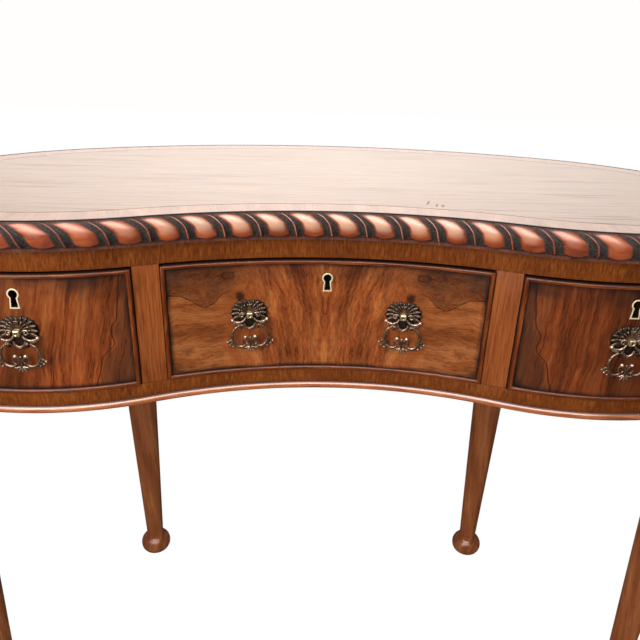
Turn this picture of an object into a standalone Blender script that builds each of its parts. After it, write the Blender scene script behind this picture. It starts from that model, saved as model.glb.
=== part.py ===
"""Kidney shaped writing desk in walnut: a carved rope edge round the top, three
drawers in a hollow front, cast brass drop pulls and four turned legs.

Metres, +Z up, the front faces -Y. The origin is on the floor under the middle
of the whole desk. Every plan line is an offset of one line, the face line of
the carcass, which is a chain of tangent arcs from the middle of the front round
to the middle of the back. A distance along it is called s, plus to the right.
"""
import math

import bmesh
import bpy
from mathutils import Matrix, Vector

# Heights
DESK_HEIGHT = 0.762
TOP_THICKNESS = 0.018
ROPE_HEIGHT = 0.0316
TOP_RAIL_HEIGHT = 0.0350
DRAWER_OPENING_HEIGHT = 0.1335
BOTTOM_RAIL_HEIGHT = 0.0158
BEAD_HEIGHT = 0.0081

# Plan of the face line, right half, from the middle of the front
HOLLOW_RADIUS = 0.500
HOLLOW_HALF_WIDTH = 0.19295
LOBE_RADIUS = 0.313
LOBE_END_HEADING = math.radians(27.5)
CORNER_RADIUS = 0.096
CORNER_END_HEADING = math.radians(84.4)
END_RADIUS = 0.302
BACK_RADIUS = 0.762
PLAN_STEP = 0.030
PLAN_STEP_ANGLE = math.radians(6.4)
NEAR_STEP_SHARE = 0.05

# Offsets outward from the face line
TOP_OVERHANG = 0.0161
ROPE_BULGE = 0.0255
ROPE_FOOT = 0.0023
BEAD_PROUD = 0.0044

# Thicknesses and clearances
GLUE_GAP = 0.0003
RAIL_DEPTH = 0.022
PANEL_THICKNESS = 0.016
BEAD_WIDTH = 0.0158
BEAD_ARC_STEPS = 4
PARTITION_THICKNESS = 0.012
RUNNER_SHELF = 0.014
CUT_OVERRUN = 0.004
WELD_DISTANCE = 0.00001
SMOOTH_ANGLE = math.radians(40)

# Places along the front, measured across from the middle
INNER_STILE_NEAR = 0.1730
INNER_STILE_FAR = 0.1978
OUTER_STILE_SETBACK = 0.03867
OUTER_STILE_WIDTH = 0.0244
BACK_JOINT_X = 0.3200

# Rope carving
ROPE_PITCH = 0.0372
ROPE_GROOVE_DEPTH = 0.0062
ROPE_FILLET_DEPTH = 0.0024
ROPE_CREST_Z = 0.0110
ROPE_TOP_ROUND = 0.0152
ROPE_SLANT_SHARE = 0.62
ROPE_PROFILE_STEPS = 5
ROPE_FADE_POWER = 0.5
ROPE_START_SHARE = 0.47
ROPE_PHASE_SHARES = (0.0, 0.13, 0.32, 0.68, 0.87)
ROPE_JOINT_SHARES = (-0.24, 0.24, 0.50)

# Legs
LEG_TOP_RADIUS = 0.0305
LEG_ANKLE_RADIUS = 0.0150
LEG_PAD_RADIUS = 0.0270
LEG_PAD_HEIGHT = 0.0240
LEG_PAD_FOOT_RADIUS = 0.0200
LEG_ANKLE_HEIGHT = 0.0400
LEG_PAD_CHEEK_SHARES = (1.3, 0.8)
LEG_POST_SIDE = 0.0360
LEG_POST_TOP_GAP = 0.0300
FRONT_LEG_HEADING = math.radians(60.0)
BACK_LEG_X = 0.3080
LEG_SEGMENTS = 20

# Drawers
DRAWER_SIDE_GAP = 0.0010
DRAWER_TOP_GAP = 0.0024
DRAWER_FRONT_THICKNESS = 0.020
DRAWER_SIDE_THICKNESS = 0.008
DRAWER_BACK_THICKNESS = 0.008
DRAWER_BOTTOM_THICKNESS = 0.005
DRAWER_BOTTOM_RISE = 0.008
DRAWER_SIDE_HEIGHT = 0.118
DRAWER_BACK_HEIGHT = 0.100
CENTRE_DRAWER_BACK_Y = 0.180
SIDE_DRAWER_BACK_Y = 0.078
BEAD_STRIP_THICKNESS = 0.0046
BEAD_STRIP_DEPTH = 0.0070
BEAD_STRIP_PROUD = 0.0030

# Locks and keyholes
KEYHOLE_TOP_DROP = 0.0704
KEYHOLE_HEIGHT = 0.0211
KEYHOLE_HEAD_RADIUS = 0.0058
KEYHOLE_FOOT_WIDTH = 0.0100
KEYHOLE_NECK_WIDTH = 0.0078
KEYHOLE_STEPS = 12
ESCUTCHEON_WALL = 0.0016
ESCUTCHEON_DEPTH = 0.0040
ESCUTCHEON_PROUD = 0.0003
LOCK_WIDTH = 0.050
LOCK_HEIGHT = 0.036
LOCK_DEPTH = 0.009
BOLT_WIDTH = 0.014
BOLT_DEPTH = 0.004
BOLT_TRAVEL = 0.006
BOLT_BODY_HEIGHT = 0.016
MORTISE_GAP = 0.0008

# Pulls
CENTRE_PULL_X = 0.0845
PULL_DROP_FROM_TOP = 0.1150
PLATE_RIM = 0.0014
PLATE_DOME = 0.0040
PLATE_FLUTE = 0.0007
PLATE_FLUTES = 9
PLATE_STEPS = 36
PLATE_FAN_SHARE = 0.85
PLATE_RING_SHARES = (0.5, 1.0)
DROP_STEPS = 24
PIN_SEGMENTS = 8
PLATE_HALF_WIDTH = 0.0222
NUT_SIDE = 0.0066
NUT_REACH = 0.0090
PIVOT_DROP = 0.0121
PIVOT_REACH = 0.0066
PIVOT_EAR_X = 0.0092
EAR_RADIUS = 0.0030
EAR_WIDTH = 0.0020
PIN_RADIUS = 0.0011
PIN_GAP = 0.0004
EAR_GAP = 0.0005
DROP_THICKNESS = 0.0026
LEAF_THICKNESS = 0.0020
PALMETTE_THICKNESS = 0.0031
VOLUTE_THICKNESS = 0.0044
DROP_HALF_WIDTH = 0.0210
DROP_WIRE = 0.0026
DROP_RING_HEIGHT = 0.0286
DROP_RING_RISE = 0.0024
LEAF_FROM = math.radians(100)
LEAF_TO = math.radians(130)
LEAF_TIP_X = 0.0259
LEAF_TIP_DROP = 0.0170
LEAF_WIDTH = 0.0050
PALMETTE_RADIUS = 0.0073
PALMETTE_PETALS = 5
PALMETTE_PETAL_STEPS = 4
PALMETTE_HALF_SPREAD = math.radians(95)
PALMETTE_NOTCH_SHARE = 0.62
VOLUTE_WIDTH = 0.0054
VOLUTE_HEIGHT = 0.0124
VOLUTE_X = 0.0046

# Radius of the plate round its outline, by angle from straight up, as shares of
# the half width of the fan
PLATE_ANGLES = (0, 30, 60, 85, 102, 116, 128, 142, 160, 180)
PLATE_REACH_SHARES = (0.74, 0.79, 0.90, 0.94, 0.93, 0.97, 0.84, 0.56, 0.66, 0.83)

# The outer stile starts short of the end of the lobe, and the side drawers' pulls
# and locks are in the middle between the stiles
HOLLOW_ANGLE = math.asin(HOLLOW_HALF_WIDTH / HOLLOW_RADIUS)
LOBE_SPAN = LOBE_RADIUS * (math.sin(HOLLOW_ANGLE) + math.sin(LOBE_END_HEADING))
OUTER_STILE_NEAR = HOLLOW_HALF_WIDTH + LOBE_SPAN - OUTER_STILE_SETBACK
SIDE_PULL_X = (INNER_STILE_FAR + OUTER_STILE_NEAR) / 2

CARCASS_TOP = DESK_HEIGHT - TOP_THICKNESS
OPENING_TOP = CARCASS_TOP - TOP_RAIL_HEIGHT
OPENING_BOTTOM = OPENING_TOP - DRAWER_OPENING_HEIGHT
RAIL_BOTTOM = OPENING_BOTTOM - BOTTOM_RAIL_HEIGHT
CARCASS_BOTTOM = RAIL_BOTTOM - BEAD_HEIGHT

WALNUT = (0.235, 0.075, 0.025, 1.0)
WALNUT_DARK = (0.130, 0.038, 0.014, 1.0)
WALNUT_RED = (0.300, 0.080, 0.030, 1.0)
OAK = (0.400, 0.235, 0.110, 1.0)
BRONZE = (0.085, 0.055, 0.038, 1.0)
BRASS = (0.800, 0.620, 0.300, 1.0)
STEEL = (0.450, 0.450, 0.440, 1.0)


def clear_scene():
    for thing in list(bpy.data.objects):
        bpy.data.objects.remove(thing)


def new_collection(name):
    group = bpy.data.collections.new(name)
    bpy.context.scene.collection.children.link(group)
    return group


clear_scene()
DESK = new_collection("kidney_desk")
CUTTERS = new_collection("cutters")


def material(name, colour, roughness, metallic):
    finish = bpy.data.materials.new(name)
    finish.use_nodes = True
    shader = finish.node_tree.nodes["Principled BSDF"]
    shader.inputs["Base Color"].default_value = colour
    shader.inputs["Roughness"].default_value = roughness
    shader.inputs["Metallic"].default_value = metallic
    return finish


# The face line

def plan_arcs():
    """Arcs of the right half: centre, signed radius, start heading, turn and length.

    A hollow arc has a minus radius. The last arc is centred on the middle line,
    which settles how far the end arc turns.
    """
    arcs = []
    x, y, heading = 0.0, 0.0, 0.0
    turns = (
        (-HOLLOW_RADIUS, -HOLLOW_ANGLE),
        (LOBE_RADIUS, HOLLOW_ANGLE + LOBE_END_HEADING),
        (CORNER_RADIUS, CORNER_END_HEADING - LOBE_END_HEADING),
    )
    for radius, turn in turns:
        x, y, heading = add_arc(arcs, x, y, heading, radius, turn)
    end_centre_x = x - END_RADIUS * math.sin(heading)
    back_turn = math.asin(end_centre_x / (BACK_RADIUS - END_RADIUS))
    end_turn = math.pi - back_turn - heading
    x, y, heading = add_arc(arcs, x, y, heading, END_RADIUS, end_turn)
    add_arc(arcs, x, y, heading, BACK_RADIUS, back_turn)
    return arcs


def add_arc(arcs, x, y, heading, radius, turn):
    centre_x = x - radius * math.sin(heading)
    centre_y = y + radius * math.cos(heading)
    arcs.append((centre_x, centre_y, radius, heading, turn, abs(radius * turn)))
    heading += turn
    return centre_x + radius * math.sin(heading), centre_y - radius * math.cos(heading), heading


ARCS = plan_arcs()
HALF_LENGTH = sum(arc[5] for arc in ARCS)
# The front reaches furthest where the lobe faces straight forward, the back in its middle
FRONT_REACH = ARCS[1][1] - LOBE_RADIUS - ROPE_BULGE
BACK_REACH = ARCS[-1][1] + BACK_RADIUS + ROPE_BULGE
PLAN_SHIFT = -(FRONT_REACH + BACK_REACH) / 2


def wrap(s):
    return (s + HALF_LENGTH) % (2 * HALF_LENGTH) - HALF_LENGTH


def arc_at(s):
    """The arc that holds s, and the heading there on the right half."""
    run = abs(wrap(s))
    for arc in ARCS[:-1]:
        if run <= arc[5]:
            return arc, arc[3] + run / arc[2]
        run -= arc[5]
    arc = ARCS[-1]
    return arc, arc[3] + min(run, arc[5]) / arc[2]


def heading_at(s):
    """Heading of the face line at s, mirrored on the left."""
    arc, heading = arc_at(s)
    return heading if wrap(s) >= 0 else -heading


def place(s, offset):
    """Plan point at s, moved outward by offset."""
    arc, heading = arc_at(s)
    reach = arc[2] + offset
    x = arc[0] + reach * math.sin(heading)
    y = arc[1] - reach * math.cos(heading) + PLAN_SHIFT
    return (x if wrap(s) >= 0 else -x, y)


def plan_grid():
    """Distances along the right half where plan lines have their points."""
    grid = [0.0]
    start = 0.0
    for arc in ARCS:
        turn, length = arc[4], arc[5]
        count = math.ceil(max(length / PLAN_STEP, abs(turn) / PLAN_STEP_ANGLE))
        grid += [start + length * step / count for step in range(1, count + 1)]
        start += length
    return grid


GRID = plan_grid()
FULL_GRID = sorted(set([-g for g in GRID] + GRID + [2 * HALF_LENGTH - g for g in GRID]))


def stations(first, last):
    near = PLAN_STEP * NEAR_STEP_SHARE
    inside = [g for g in FULL_GRID if first + near < g < last - near]
    return [first] + inside + [last]


def line(first, last, offset):
    return [place(s, offset) for s in stations(first, last)]


def s_at_x(x, offset, low=0.0, high=None):
    """Distance along the right half where the offset line is at x, by halving."""
    if high is None:
        high = ARCS[0][5] + ARCS[1][5] + ARCS[2][5]
    rising = place(high, offset)[0] > place(low, offset)[0]
    for _ in range(50):
        middle = (low + high) / 2
        if (place(middle, offset)[0] < x) == rising:
            low = middle
        else:
            high = middle
    return (low + high) / 2


def s_at_back_x(x, offset):
    return s_at_x(x, offset, ARCS[0][5] + ARCS[1][5] + ARCS[2][5] + ARCS[3][5] / 2, HALF_LENGTH)


def front_edge(low_x, high_x, offset):
    """Points of the front line at an offset, from low_x to high_x."""
    first = math.copysign(s_at_x(abs(low_x), offset), low_x)
    last = math.copysign(s_at_x(abs(high_x), offset), high_x)
    return line(first, last, offset)


def back_edge(low_x, high_x, offset):
    """Points of the back line at an offset, from high_x to low_x."""
    first = s_at_back_x(abs(high_x), offset) if high_x > 0 else 2 * HALF_LENGTH - s_at_back_x(-high_x, offset)
    last = s_at_back_x(low_x, offset) if low_x > 0 else 2 * HALF_LENGTH - s_at_back_x(-low_x, offset)
    return line(first, last, offset)


# Makers of shapes

def close_mesh(mesh):
    """Weld the seams of a mesh and turn its faces outward."""
    shell = bmesh.new()
    shell.from_mesh(mesh)
    bmesh.ops.remove_doubles(shell, verts=shell.verts, dist=WELD_DISTANCE)
    bmesh.ops.recalc_face_normals(shell, faces=shell.faces)
    if shell.calc_volume(signed=True) < 0.0:
        bmesh.ops.reverse_faces(shell, faces=shell.faces)
    shell.to_mesh(mesh)
    shell.free()


def keep_mesh(name, mesh, finish, smooth=False):
    """A named object of the desk from a closed mesh."""
    close_mesh(mesh)
    thing = bpy.data.objects.new(name, mesh)
    DESK.objects.link(thing)
    mesh.materials.clear()
    mesh.materials.append(finish)
    if smooth:
        mesh.shade_smooth()
        mesh.set_sharp_from_angle(angle=SMOOTH_ANGLE)
    return thing


def outline_mesh(outlines, low, high):
    """Mesh of a flat outline, with its holes, extruded from low to high."""
    curve = bpy.data.curves.new("outline", "CURVE")
    curve.dimensions = "2D"
    curve.fill_mode = "BOTH"
    curve.extrude = (high - low) / 2
    for outline in outlines:
        spline = curve.splines.new("POLY")
        spline.points.add(len(outline) - 1)
        spline.use_cyclic_u = True
        for point, (x, y) in zip(spline.points, outline):
            point.co = (x, y, 0.0, 1.0)
    holder = bpy.data.objects.new("outline", curve)
    bpy.context.scene.collection.objects.link(holder)
    depsgraph = bpy.context.evaluated_depsgraph_get()
    mesh = bpy.data.meshes.new_from_object(holder.evaluated_get(depsgraph))
    mesh.transform(Matrix.Translation((0.0, 0.0, (low + high) / 2)))
    bpy.data.objects.remove(holder)
    return mesh


def plank(name, outline, low, high, finish):
    return keep_mesh(name, outline_mesh([outline], low, high), finish)


def box_mesh(size, centre):
    shell = bmesh.new()
    bmesh.ops.create_cube(shell, size=1.0)
    bmesh.ops.scale(shell, vec=size, verts=shell.verts)
    bmesh.ops.translate(shell, vec=centre, verts=shell.verts)
    mesh = bpy.data.meshes.new("box")
    shell.to_mesh(mesh)
    shell.free()
    return mesh


def rod_mesh(radius, length, segments, turn):
    """A cylinder about the origin, turned from its upright axis."""
    shell = bmesh.new()
    bmesh.ops.create_cone(shell, cap_ends=True, segments=segments, radius1=radius,
                          radius2=radius, depth=length)
    bmesh.ops.transform(shell, matrix=turn, verts=shell.verts)
    mesh = bpy.data.meshes.new("rod")
    shell.to_mesh(mesh)
    shell.free()
    return mesh


def guide(name, mesh, matrix):
    """A hidden helper for a Boolean."""
    close_mesh(mesh)
    thing = bpy.data.objects.new(name, mesh)
    thing.matrix_world = matrix
    thing.hide_render = True
    thing.display_type = "WIRE"
    CUTTERS.objects.link(thing)
    return thing


def combine(thing, other, operation):
    step = thing.modifiers.new(other.name, "BOOLEAN")
    step.operation = operation
    step.solver = "EXACT"
    step.object = other


def face_frame(s, rise, inset=0.0):
    """Frame on the face at s: x along the face, y into the desk, z up."""
    x, y = place(s, -inset)
    return Matrix.Translation((x, y, rise)) @ Matrix.Rotation(heading_at(s), 4, "Z")


# Top and carved edge

def make_top():
    loop = line(-HALF_LENGTH, HALF_LENGTH, TOP_OVERHANG - GLUE_GAP)[:-1]
    plank("top_board", loop, CARCASS_TOP, DESK_HEIGHT, TOP_WOOD)


def rope_section(share):
    """Offset and drop below the top of the uncarved moulding, and its outward
    direction, at a share of its girth from the top edge to the foot."""
    top_angle = math.acos((TOP_OVERHANG - ROPE_BULGE + ROPE_TOP_ROUND) / ROPE_TOP_ROUND)
    top_rise = ROPE_CREST_Z / math.sin(top_angle)
    angle = top_angle - share * (top_angle + math.pi / 2)
    if angle > 0:
        across, up, middle = ROPE_TOP_ROUND, top_rise, ROPE_BULGE - ROPE_TOP_ROUND
    else:
        across, up, middle = ROPE_BULGE - ROPE_FOOT, ROPE_HEIGHT - ROPE_CREST_Z, ROPE_FOOT
    offset = middle + across * math.cos(angle)
    drop = ROPE_CREST_Z - up * math.sin(angle)
    out = Vector((math.cos(angle) / across, math.sin(angle) / up)).normalized()
    return offset, drop, out


def rope_depth(phase):
    """Depth of the carving: a fillet at 0, a groove either side, a lobe between."""
    away = min(phase, 1.0 - phase)
    groove = ROPE_PHASE_SHARES[1]
    if away < groove:
        blend = away / groove
        return ROPE_FILLET_DEPTH + (ROPE_GROOVE_DEPTH - ROPE_FILLET_DEPTH) * blend
    swell = math.sin(math.pi / 2 * (away - groove) / (0.5 - groove))
    return ROPE_GROOVE_DEPTH * (1.0 - swell)


def rope_slant(share):
    """How far a groove has run along the edge by a share of the girth."""
    return ROPE_SLANT_SHARE * math.sqrt(max(0.0, 1.0 - (1.0 - share) ** 2))


def rope_loop(s, phase, pitch):
    """One cross-section of the moulding, its face points slanted along the edge."""
    points = []
    for step in range(ROPE_PROFILE_STEPS + 1):
        share = step / ROPE_PROFILE_STEPS
        offset, drop, out = rope_section(share)
        fade = math.sin(math.pi * min(max(share, 0.0), 1.0)) ** ROPE_FADE_POWER
        depth = rope_depth(phase) * fade
        x, y = place(s + rope_slant(share) * pitch, offset - out.x * depth)
        points.append((x, y, DESK_HEIGHT - drop - out.y * depth))
    back = (
        (GLUE_GAP, ROPE_HEIGHT),
        (GLUE_GAP, TOP_THICKNESS + GLUE_GAP),
        (TOP_OVERHANG, TOP_THICKNESS + GLUE_GAP),
    )
    for offset, drop in back:
        x, y = place(s, offset)
        points.append((x, y, DESK_HEIGHT - drop))
    return points


def make_rope():
    """The carved moulding in three glued lengths, joined along a groove."""
    count = round(2 * HALF_LENGTH / ROPE_PITCH)
    pitch = 2 * HALF_LENGTH / count
    joints = [round(share * count) for share in ROPE_JOINT_SHARES]
    joints.append(joints[0] + count)
    names = ("rope_edge_front", "rope_edge_right", "rope_edge_left")
    for name, first, last in zip(names, joints, joints[1:]):
        loops = []
        for lobe in range(first, last):
            for phase in ROPE_PHASE_SHARES:
                loops.append(rope_loop((lobe + phase + ROPE_START_SHARE) * pitch, phase, pitch))
        loops.append(rope_loop((last + ROPE_START_SHARE) * pitch - GLUE_GAP, 0.0, pitch))
        loft(name, loops, ROPE_WOOD)


def loft(name, loops, finish):
    """A closed solid through like cross-sections, fanned shut at its ends."""
    shell = bmesh.new()
    rows = [[shell.verts.new(point) for point in loop] for loop in loops]
    size = len(loops[0])
    for near, far in zip(rows, rows[1:]):
        for index in range(size):
            other = (index + 1) % size
            shell.faces.new((near[index], near[other], far[other], far[index]))
    for row in (rows[0], rows[-1]):
        for index in range(size - 2):
            shell.faces.new((row[-1], row[index], row[index + 1]))
    mesh = bpy.data.meshes.new(name)
    shell.to_mesh(mesh)
    shell.free()
    return keep_mesh(name, mesh, finish, smooth=True)


# Carcass

def make_front_frame():
    """Rails along the whole front, with four stiles between them."""
    end = s_at_x(OUTER_STILE_NEAR + OUTER_STILE_WIDTH, 0.0)
    band = line(-end, end, 0.0) + line(-end, end, -RAIL_DEPTH)[::-1]
    top_rail = plank("front_top_rail", band, OPENING_TOP, CARCASS_TOP - GLUE_GAP, RAIL_WOOD)
    plank("front_bottom_rail", band, RAIL_BOTTOM + GLUE_GAP, OPENING_BOTTOM, RAIL_WOOD)
    for s in (0.0, s_at_x(SIDE_PULL_X, 0.0), -s_at_x(SIDE_PULL_X, 0.0)):
        cut_mortise(top_rail, s)
    low, high = OPENING_BOTTOM + GLUE_GAP, OPENING_TOP - GLUE_GAP
    for side, sign in (("left", -1), ("right", 1)):
        near = front_edge(INNER_STILE_NEAR, INNER_STILE_FAR, 0.0)
        far = front_edge(INNER_STILE_NEAR, INNER_STILE_FAR, -RAIL_DEPTH)[::-1]
        inner = [(sign * x, y) for x, y in near + far]
        plank("inner_stile_" + side, inner, low, high, STILE_WOOD)
        outer_line = line(s_at_x(OUTER_STILE_NEAR, 0.0), end, 0.0)
        inner_line = line(s_at_x(OUTER_STILE_NEAR, -RAIL_DEPTH), end, -RAIL_DEPTH)[::-1]
        outer = [(sign * x, y) for x, y in outer_line + inner_line]
        plank("outer_stile_" + side, outer, low, high, STILE_WOOD)
    return end


def cut_mortise(rail, s):
    """A slot in the underside of the rail for a lock bolt."""
    height = BOLT_TRAVEL + MORTISE_GAP
    size = (BOLT_WIDTH + 2 * MORTISE_GAP, BOLT_DEPTH + 2 * MORTISE_GAP, height + CUT_OVERRUN)
    centre = (0.0, 0.0, (height - CUT_OVERRUN) / 2)
    frame = face_frame(s, OPENING_TOP, bolt_inset())
    combine(rail, guide("bolt_mortise_cutter", box_mesh(size, centre), frame), "DIFFERENCE")


def bolt_inset():
    return DRAWER_FRONT_THICKNESS - LOCK_DEPTH / 2


def make_panels(front_end):
    """Two bent end panels and a bent back panel, butted behind the back legs."""
    joint = s_at_back_x(BACK_JOINT_X, 0.0)
    start = front_end + GLUE_GAP
    low, high = RAIL_BOTTOM + GLUE_GAP, CARCASS_TOP - GLUE_GAP
    outline = line(start, joint, 0.0) + line(start, joint, -PANEL_THICKNESS)[::-1]
    plank("end_panel_right", outline, low, high, PANEL_WOOD)
    plank("end_panel_left", [(-x, y) for x, y in outline], low, high, PANEL_WOOD)
    first, last = joint + GLUE_GAP, 2 * HALF_LENGTH - joint - GLUE_GAP
    outline = line(first, last, 0.0) + line(first, last, -PANEL_THICKNESS)[::-1]
    plank("back_panel", outline, low, high, PANEL_WOOD)


def make_base_bead():
    """The half-round bead under the carcass, in four bent lengths."""
    joint = s_at_back_x(BACK_JOINT_X, 0.0)
    spans = (
        ("base_bead_front", -ARCS[0][5] - ARCS[1][5], ARCS[0][5] + ARCS[1][5]),
        ("base_bead_right", ARCS[0][5] + ARCS[1][5], joint),
        ("base_bead_back", joint, 2 * HALF_LENGTH - joint),
        ("base_bead_left", 2 * HALF_LENGTH - joint, 2 * HALF_LENGTH - ARCS[0][5] - ARCS[1][5]),
    )
    half = BEAD_HEIGHT / 2
    section = [(-BEAD_WIDTH, half), (-BEAD_WIDTH, -half)]
    for step in range(BEAD_ARC_STEPS + 1):
        angle = math.pi * step / BEAD_ARC_STEPS - math.pi / 2
        section.append((BEAD_PROUD - half + half * math.cos(angle), half * math.sin(angle)))
    middle = CARCASS_BOTTOM + half
    for name, first, last in spans:
        loops = []
        for s in stations(first, last - GLUE_GAP):
            loops.append([(*place(s, offset), middle + rise) for offset, rise in section])
        loft(name, loops, BEAD_WOOD)


def make_partitions():
    """Upright boards between the drawers, with shelves that the drawers run on."""
    gap = GLUE_GAP
    middle = (INNER_STILE_NEAR + INNER_STILE_FAR) / 2
    web = (middle - PARTITION_THICKNESS / 2, middle + PARTITION_THICKNESS / 2)
    shelf = (web[0] - RUNNER_SHELF, web[1] + RUNNER_SHELF)
    outer_web = (OUTER_STILE_NEAR + gap, OUTER_STILE_NEAR + gap + PARTITION_THICKNESS)
    outer_shelf = (outer_web[0] - RUNNER_SHELF, outer_web[1])
    jobs = (("partition", web, shelf), ("drawer_guide", outer_web, outer_shelf))
    for kind, upright, foot in jobs:
        for side, sign in (("left", -1), ("right", 1)):
            board = run_outline(upright, sign)
            thing = plank(kind + "_" + side, board, RAIL_BOTTOM + gap, CARCASS_TOP - gap, INNER_WOOD)
            rail = outline_mesh([run_outline(foot, sign)], RAIL_BOTTOM + gap, OPENING_BOTTOM)
            combine(thing, guide(kind + "_shelf", rail, Matrix.Identity(4)), "UNION")


def run_outline(span, sign):
    """Plan of a board that runs from behind the front rail to the back panel."""
    low, high = span
    front = front_edge(low, high, -RAIL_DEPTH - GLUE_GAP)
    back = back_edge(low, high, -PANEL_THICKNESS - GLUE_GAP)
    return [(sign * x, y) for x, y in front + back]


# Legs

def leg_profile():
    """Radius and height of the turned part, from the top down."""
    top = CARCASS_BOTTOM - GLUE_GAP
    pad_middle = LEG_PAD_HEIGHT / 2
    points = [(LEG_TOP_RADIUS, top)]
    points.append((LEG_ANKLE_RADIUS, LEG_ANKLE_HEIGHT))
    points.append(((LEG_ANKLE_RADIUS + LEG_PAD_RADIUS) / 2, LEG_PAD_HEIGHT + pad_middle / 4))
    for share in LEG_PAD_CHEEK_SHARES:
        points.append((LEG_PAD_RADIUS, pad_middle * share))
    points.append((LEG_PAD_FOOT_RADIUS, 0.0))
    return points


def make_leg(name, s):
    """A turned leg whose square post stands inside the panel at s."""
    thickness = PANEL_THICKNESS + GLUE_GAP
    half = LEG_POST_SIDE / 2
    radius = abs(radius_at(s)) - thickness
    inset = thickness + radius - (math.sqrt(radius ** 2 - half ** 2) - half)
    x, y = place(s, -inset)
    profile = bpy.data.meshes.new("leg_profile")
    shell = bmesh.new()
    points = [(0.0, CARCASS_BOTTOM - GLUE_GAP)] + leg_profile() + [(0.0, 0.0)]
    verts = [shell.verts.new((reach, 0.0, height)) for reach, height in points]
    for near, far in zip(verts, verts[1:]):
        shell.edges.new((near, far))
    shell.to_mesh(profile)
    shell.free()
    profile.materials.append(LEG_WOOD)
    leg = bpy.data.objects.new(name, profile)
    DESK.objects.link(leg)
    leg.location = (x, y, 0.0)
    leg.rotation_euler = (0.0, 0.0, heading_at(s))
    turn = leg.modifiers.new("turning", "SCREW")
    turn.steps = LEG_SEGMENTS
    turn.render_steps = LEG_SEGMENTS
    turn.merge_threshold = WELD_DISTANCE
    turn.use_merge_vertices = True
    low = CARCASS_BOTTOM - LEG_TOP_RADIUS
    high = CARCASS_TOP - LEG_POST_TOP_GAP
    size = (LEG_POST_SIDE, LEG_POST_SIDE, high - low)
    post = box_mesh(size, (0.0, 0.0, (low + high) / 2))
    frame = Matrix.Translation((x, y, 0.0)) @ Matrix.Rotation(heading_at(s), 4, "Z")
    combine(leg, guide(name + "_post", post, frame), "UNION")


def radius_at(s):
    return arc_at(s)[0][2]


def make_legs():
    before = ARCS[0][5] + ARCS[1][5]
    front = before + (FRONT_LEG_HEADING - ARCS[2][3]) * CORNER_RADIUS
    back = s_at_back_x(BACK_LEG_X, -PANEL_THICKNESS - LEG_POST_SIDE / 2)
    make_leg("leg_front_right", front)
    make_leg("leg_front_left", -front)
    make_leg("leg_back_right", back)
    make_leg("leg_back_left", -back)


# Drawers

def front_slab(low_x, high_x, outward, inward, low, high):
    """A bent slab that follows the front between two straight ends."""
    near = front_edge(low_x, high_x, outward)
    far = front_edge(low_x, high_x, -inward)[::-1]
    return outline_mesh([near + far], low, high)


def bead_frame(name, low_x, high_x, low, high, grow, outward, inward):
    """Mesh of a bent ring round the drawer front, as a slab with its middle cut."""
    ring = guide(name, front_slab(low_x, high_x, outward, inward, low, high), Matrix.Identity(4))
    wall = BEAD_STRIP_THICKNESS + grow
    middle = front_slab(low_x + wall, high_x - wall, outward + CUT_OVERRUN, inward + CUT_OVERRUN,
                        low + wall, high - wall)
    combine(ring, guide(name + "_middle", middle, Matrix.Identity(4)), "DIFFERENCE")
    return ring


def make_drawer(name, low_x, high_x, lock_s, back_y):
    """One drawer: front, cock bead, sides, back and bottom."""
    low = OPENING_BOTTOM + GLUE_GAP
    high = OPENING_TOP - DRAWER_TOP_GAP
    left, right = low_x + DRAWER_SIDE_GAP, high_x - DRAWER_SIDE_GAP
    front = keep_mesh(name + "_front",
                      front_slab(left, right, 0.0, DRAWER_FRONT_THICKNESS, low, high), FRONT_VENEER)
    cutter = bead_frame(name + "_rebate", left - CUT_OVERRUN, right + CUT_OVERRUN, low - CUT_OVERRUN,
                        high + CUT_OVERRUN, GLUE_GAP + CUT_OVERRUN, CUT_OVERRUN, BEAD_STRIP_DEPTH)
    combine(front, cutter, "DIFFERENCE")
    cut_lock_seat(front, lock_s, high)
    bead = bead_frame(name + "_bead_guide", left, right, low, high, 0.0,
                      BEAD_STRIP_PROUD, BEAD_STRIP_DEPTH - GLUE_GAP)
    depsgraph = bpy.context.evaluated_depsgraph_get()
    ring = bpy.data.meshes.new_from_object(bead.evaluated_get(depsgraph))
    keep_mesh(name + "_cock_bead", ring, BEAD_WOOD)
    inner = -DRAWER_FRONT_THICKNESS - GLUE_GAP
    wall = DRAWER_SIDE_THICKNESS
    for side, edge_x, sign in (("left", left, 1), ("right", right, -1)):
        span = sorted((edge_x, edge_x + sign * wall))
        outline = front_edge(span[0], span[1], inner) + [(span[1], back_y), (span[0], back_y)]
        plank(name + "_side_" + side, outline, low, low + DRAWER_SIDE_HEIGHT, DRAWER_WOOD)
    near, far = left + wall + GLUE_GAP, right - wall - GLUE_GAP
    bottom_low = low + DRAWER_BOTTOM_RISE
    outline = front_edge(near, far, inner) + [(far, back_y), (near, back_y)]
    plank(name + "_bottom", outline, bottom_low, bottom_low + DRAWER_BOTTOM_THICKNESS, DRAWER_WOOD)
    back_low = bottom_low + DRAWER_BOTTOM_THICKNESS + GLUE_GAP
    back = [(near, back_y - DRAWER_BACK_THICKNESS), (far, back_y - DRAWER_BACK_THICKNESS),
            (far, back_y), (near, back_y)]
    plank(name + "_back", back, back_low, low + DRAWER_BACK_HEIGHT, DRAWER_WOOD)
    make_lock(name, lock_s, high)


def keyhole_outline(grow):
    """A keyhole: a round head over a foot that spreads downward."""
    radius = KEYHOLE_HEAD_RADIUS + grow
    neck, foot = KEYHOLE_NECK_WIDTH / 2 + grow, KEYHOLE_FOOT_WIDTH / 2 + grow
    bottom = KEYHOLE_HEAD_RADIUS - KEYHOLE_HEIGHT - grow
    points = [(foot, bottom)]
    sweep = math.pi - math.asin(neck / radius)
    for step in range(KEYHOLE_STEPS + 1):
        angle = -sweep + 2 * sweep * step / KEYHOLE_STEPS
        points.append((-radius * math.sin(angle), radius * math.cos(angle)))
    points.append((-foot, bottom))
    return points


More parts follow.
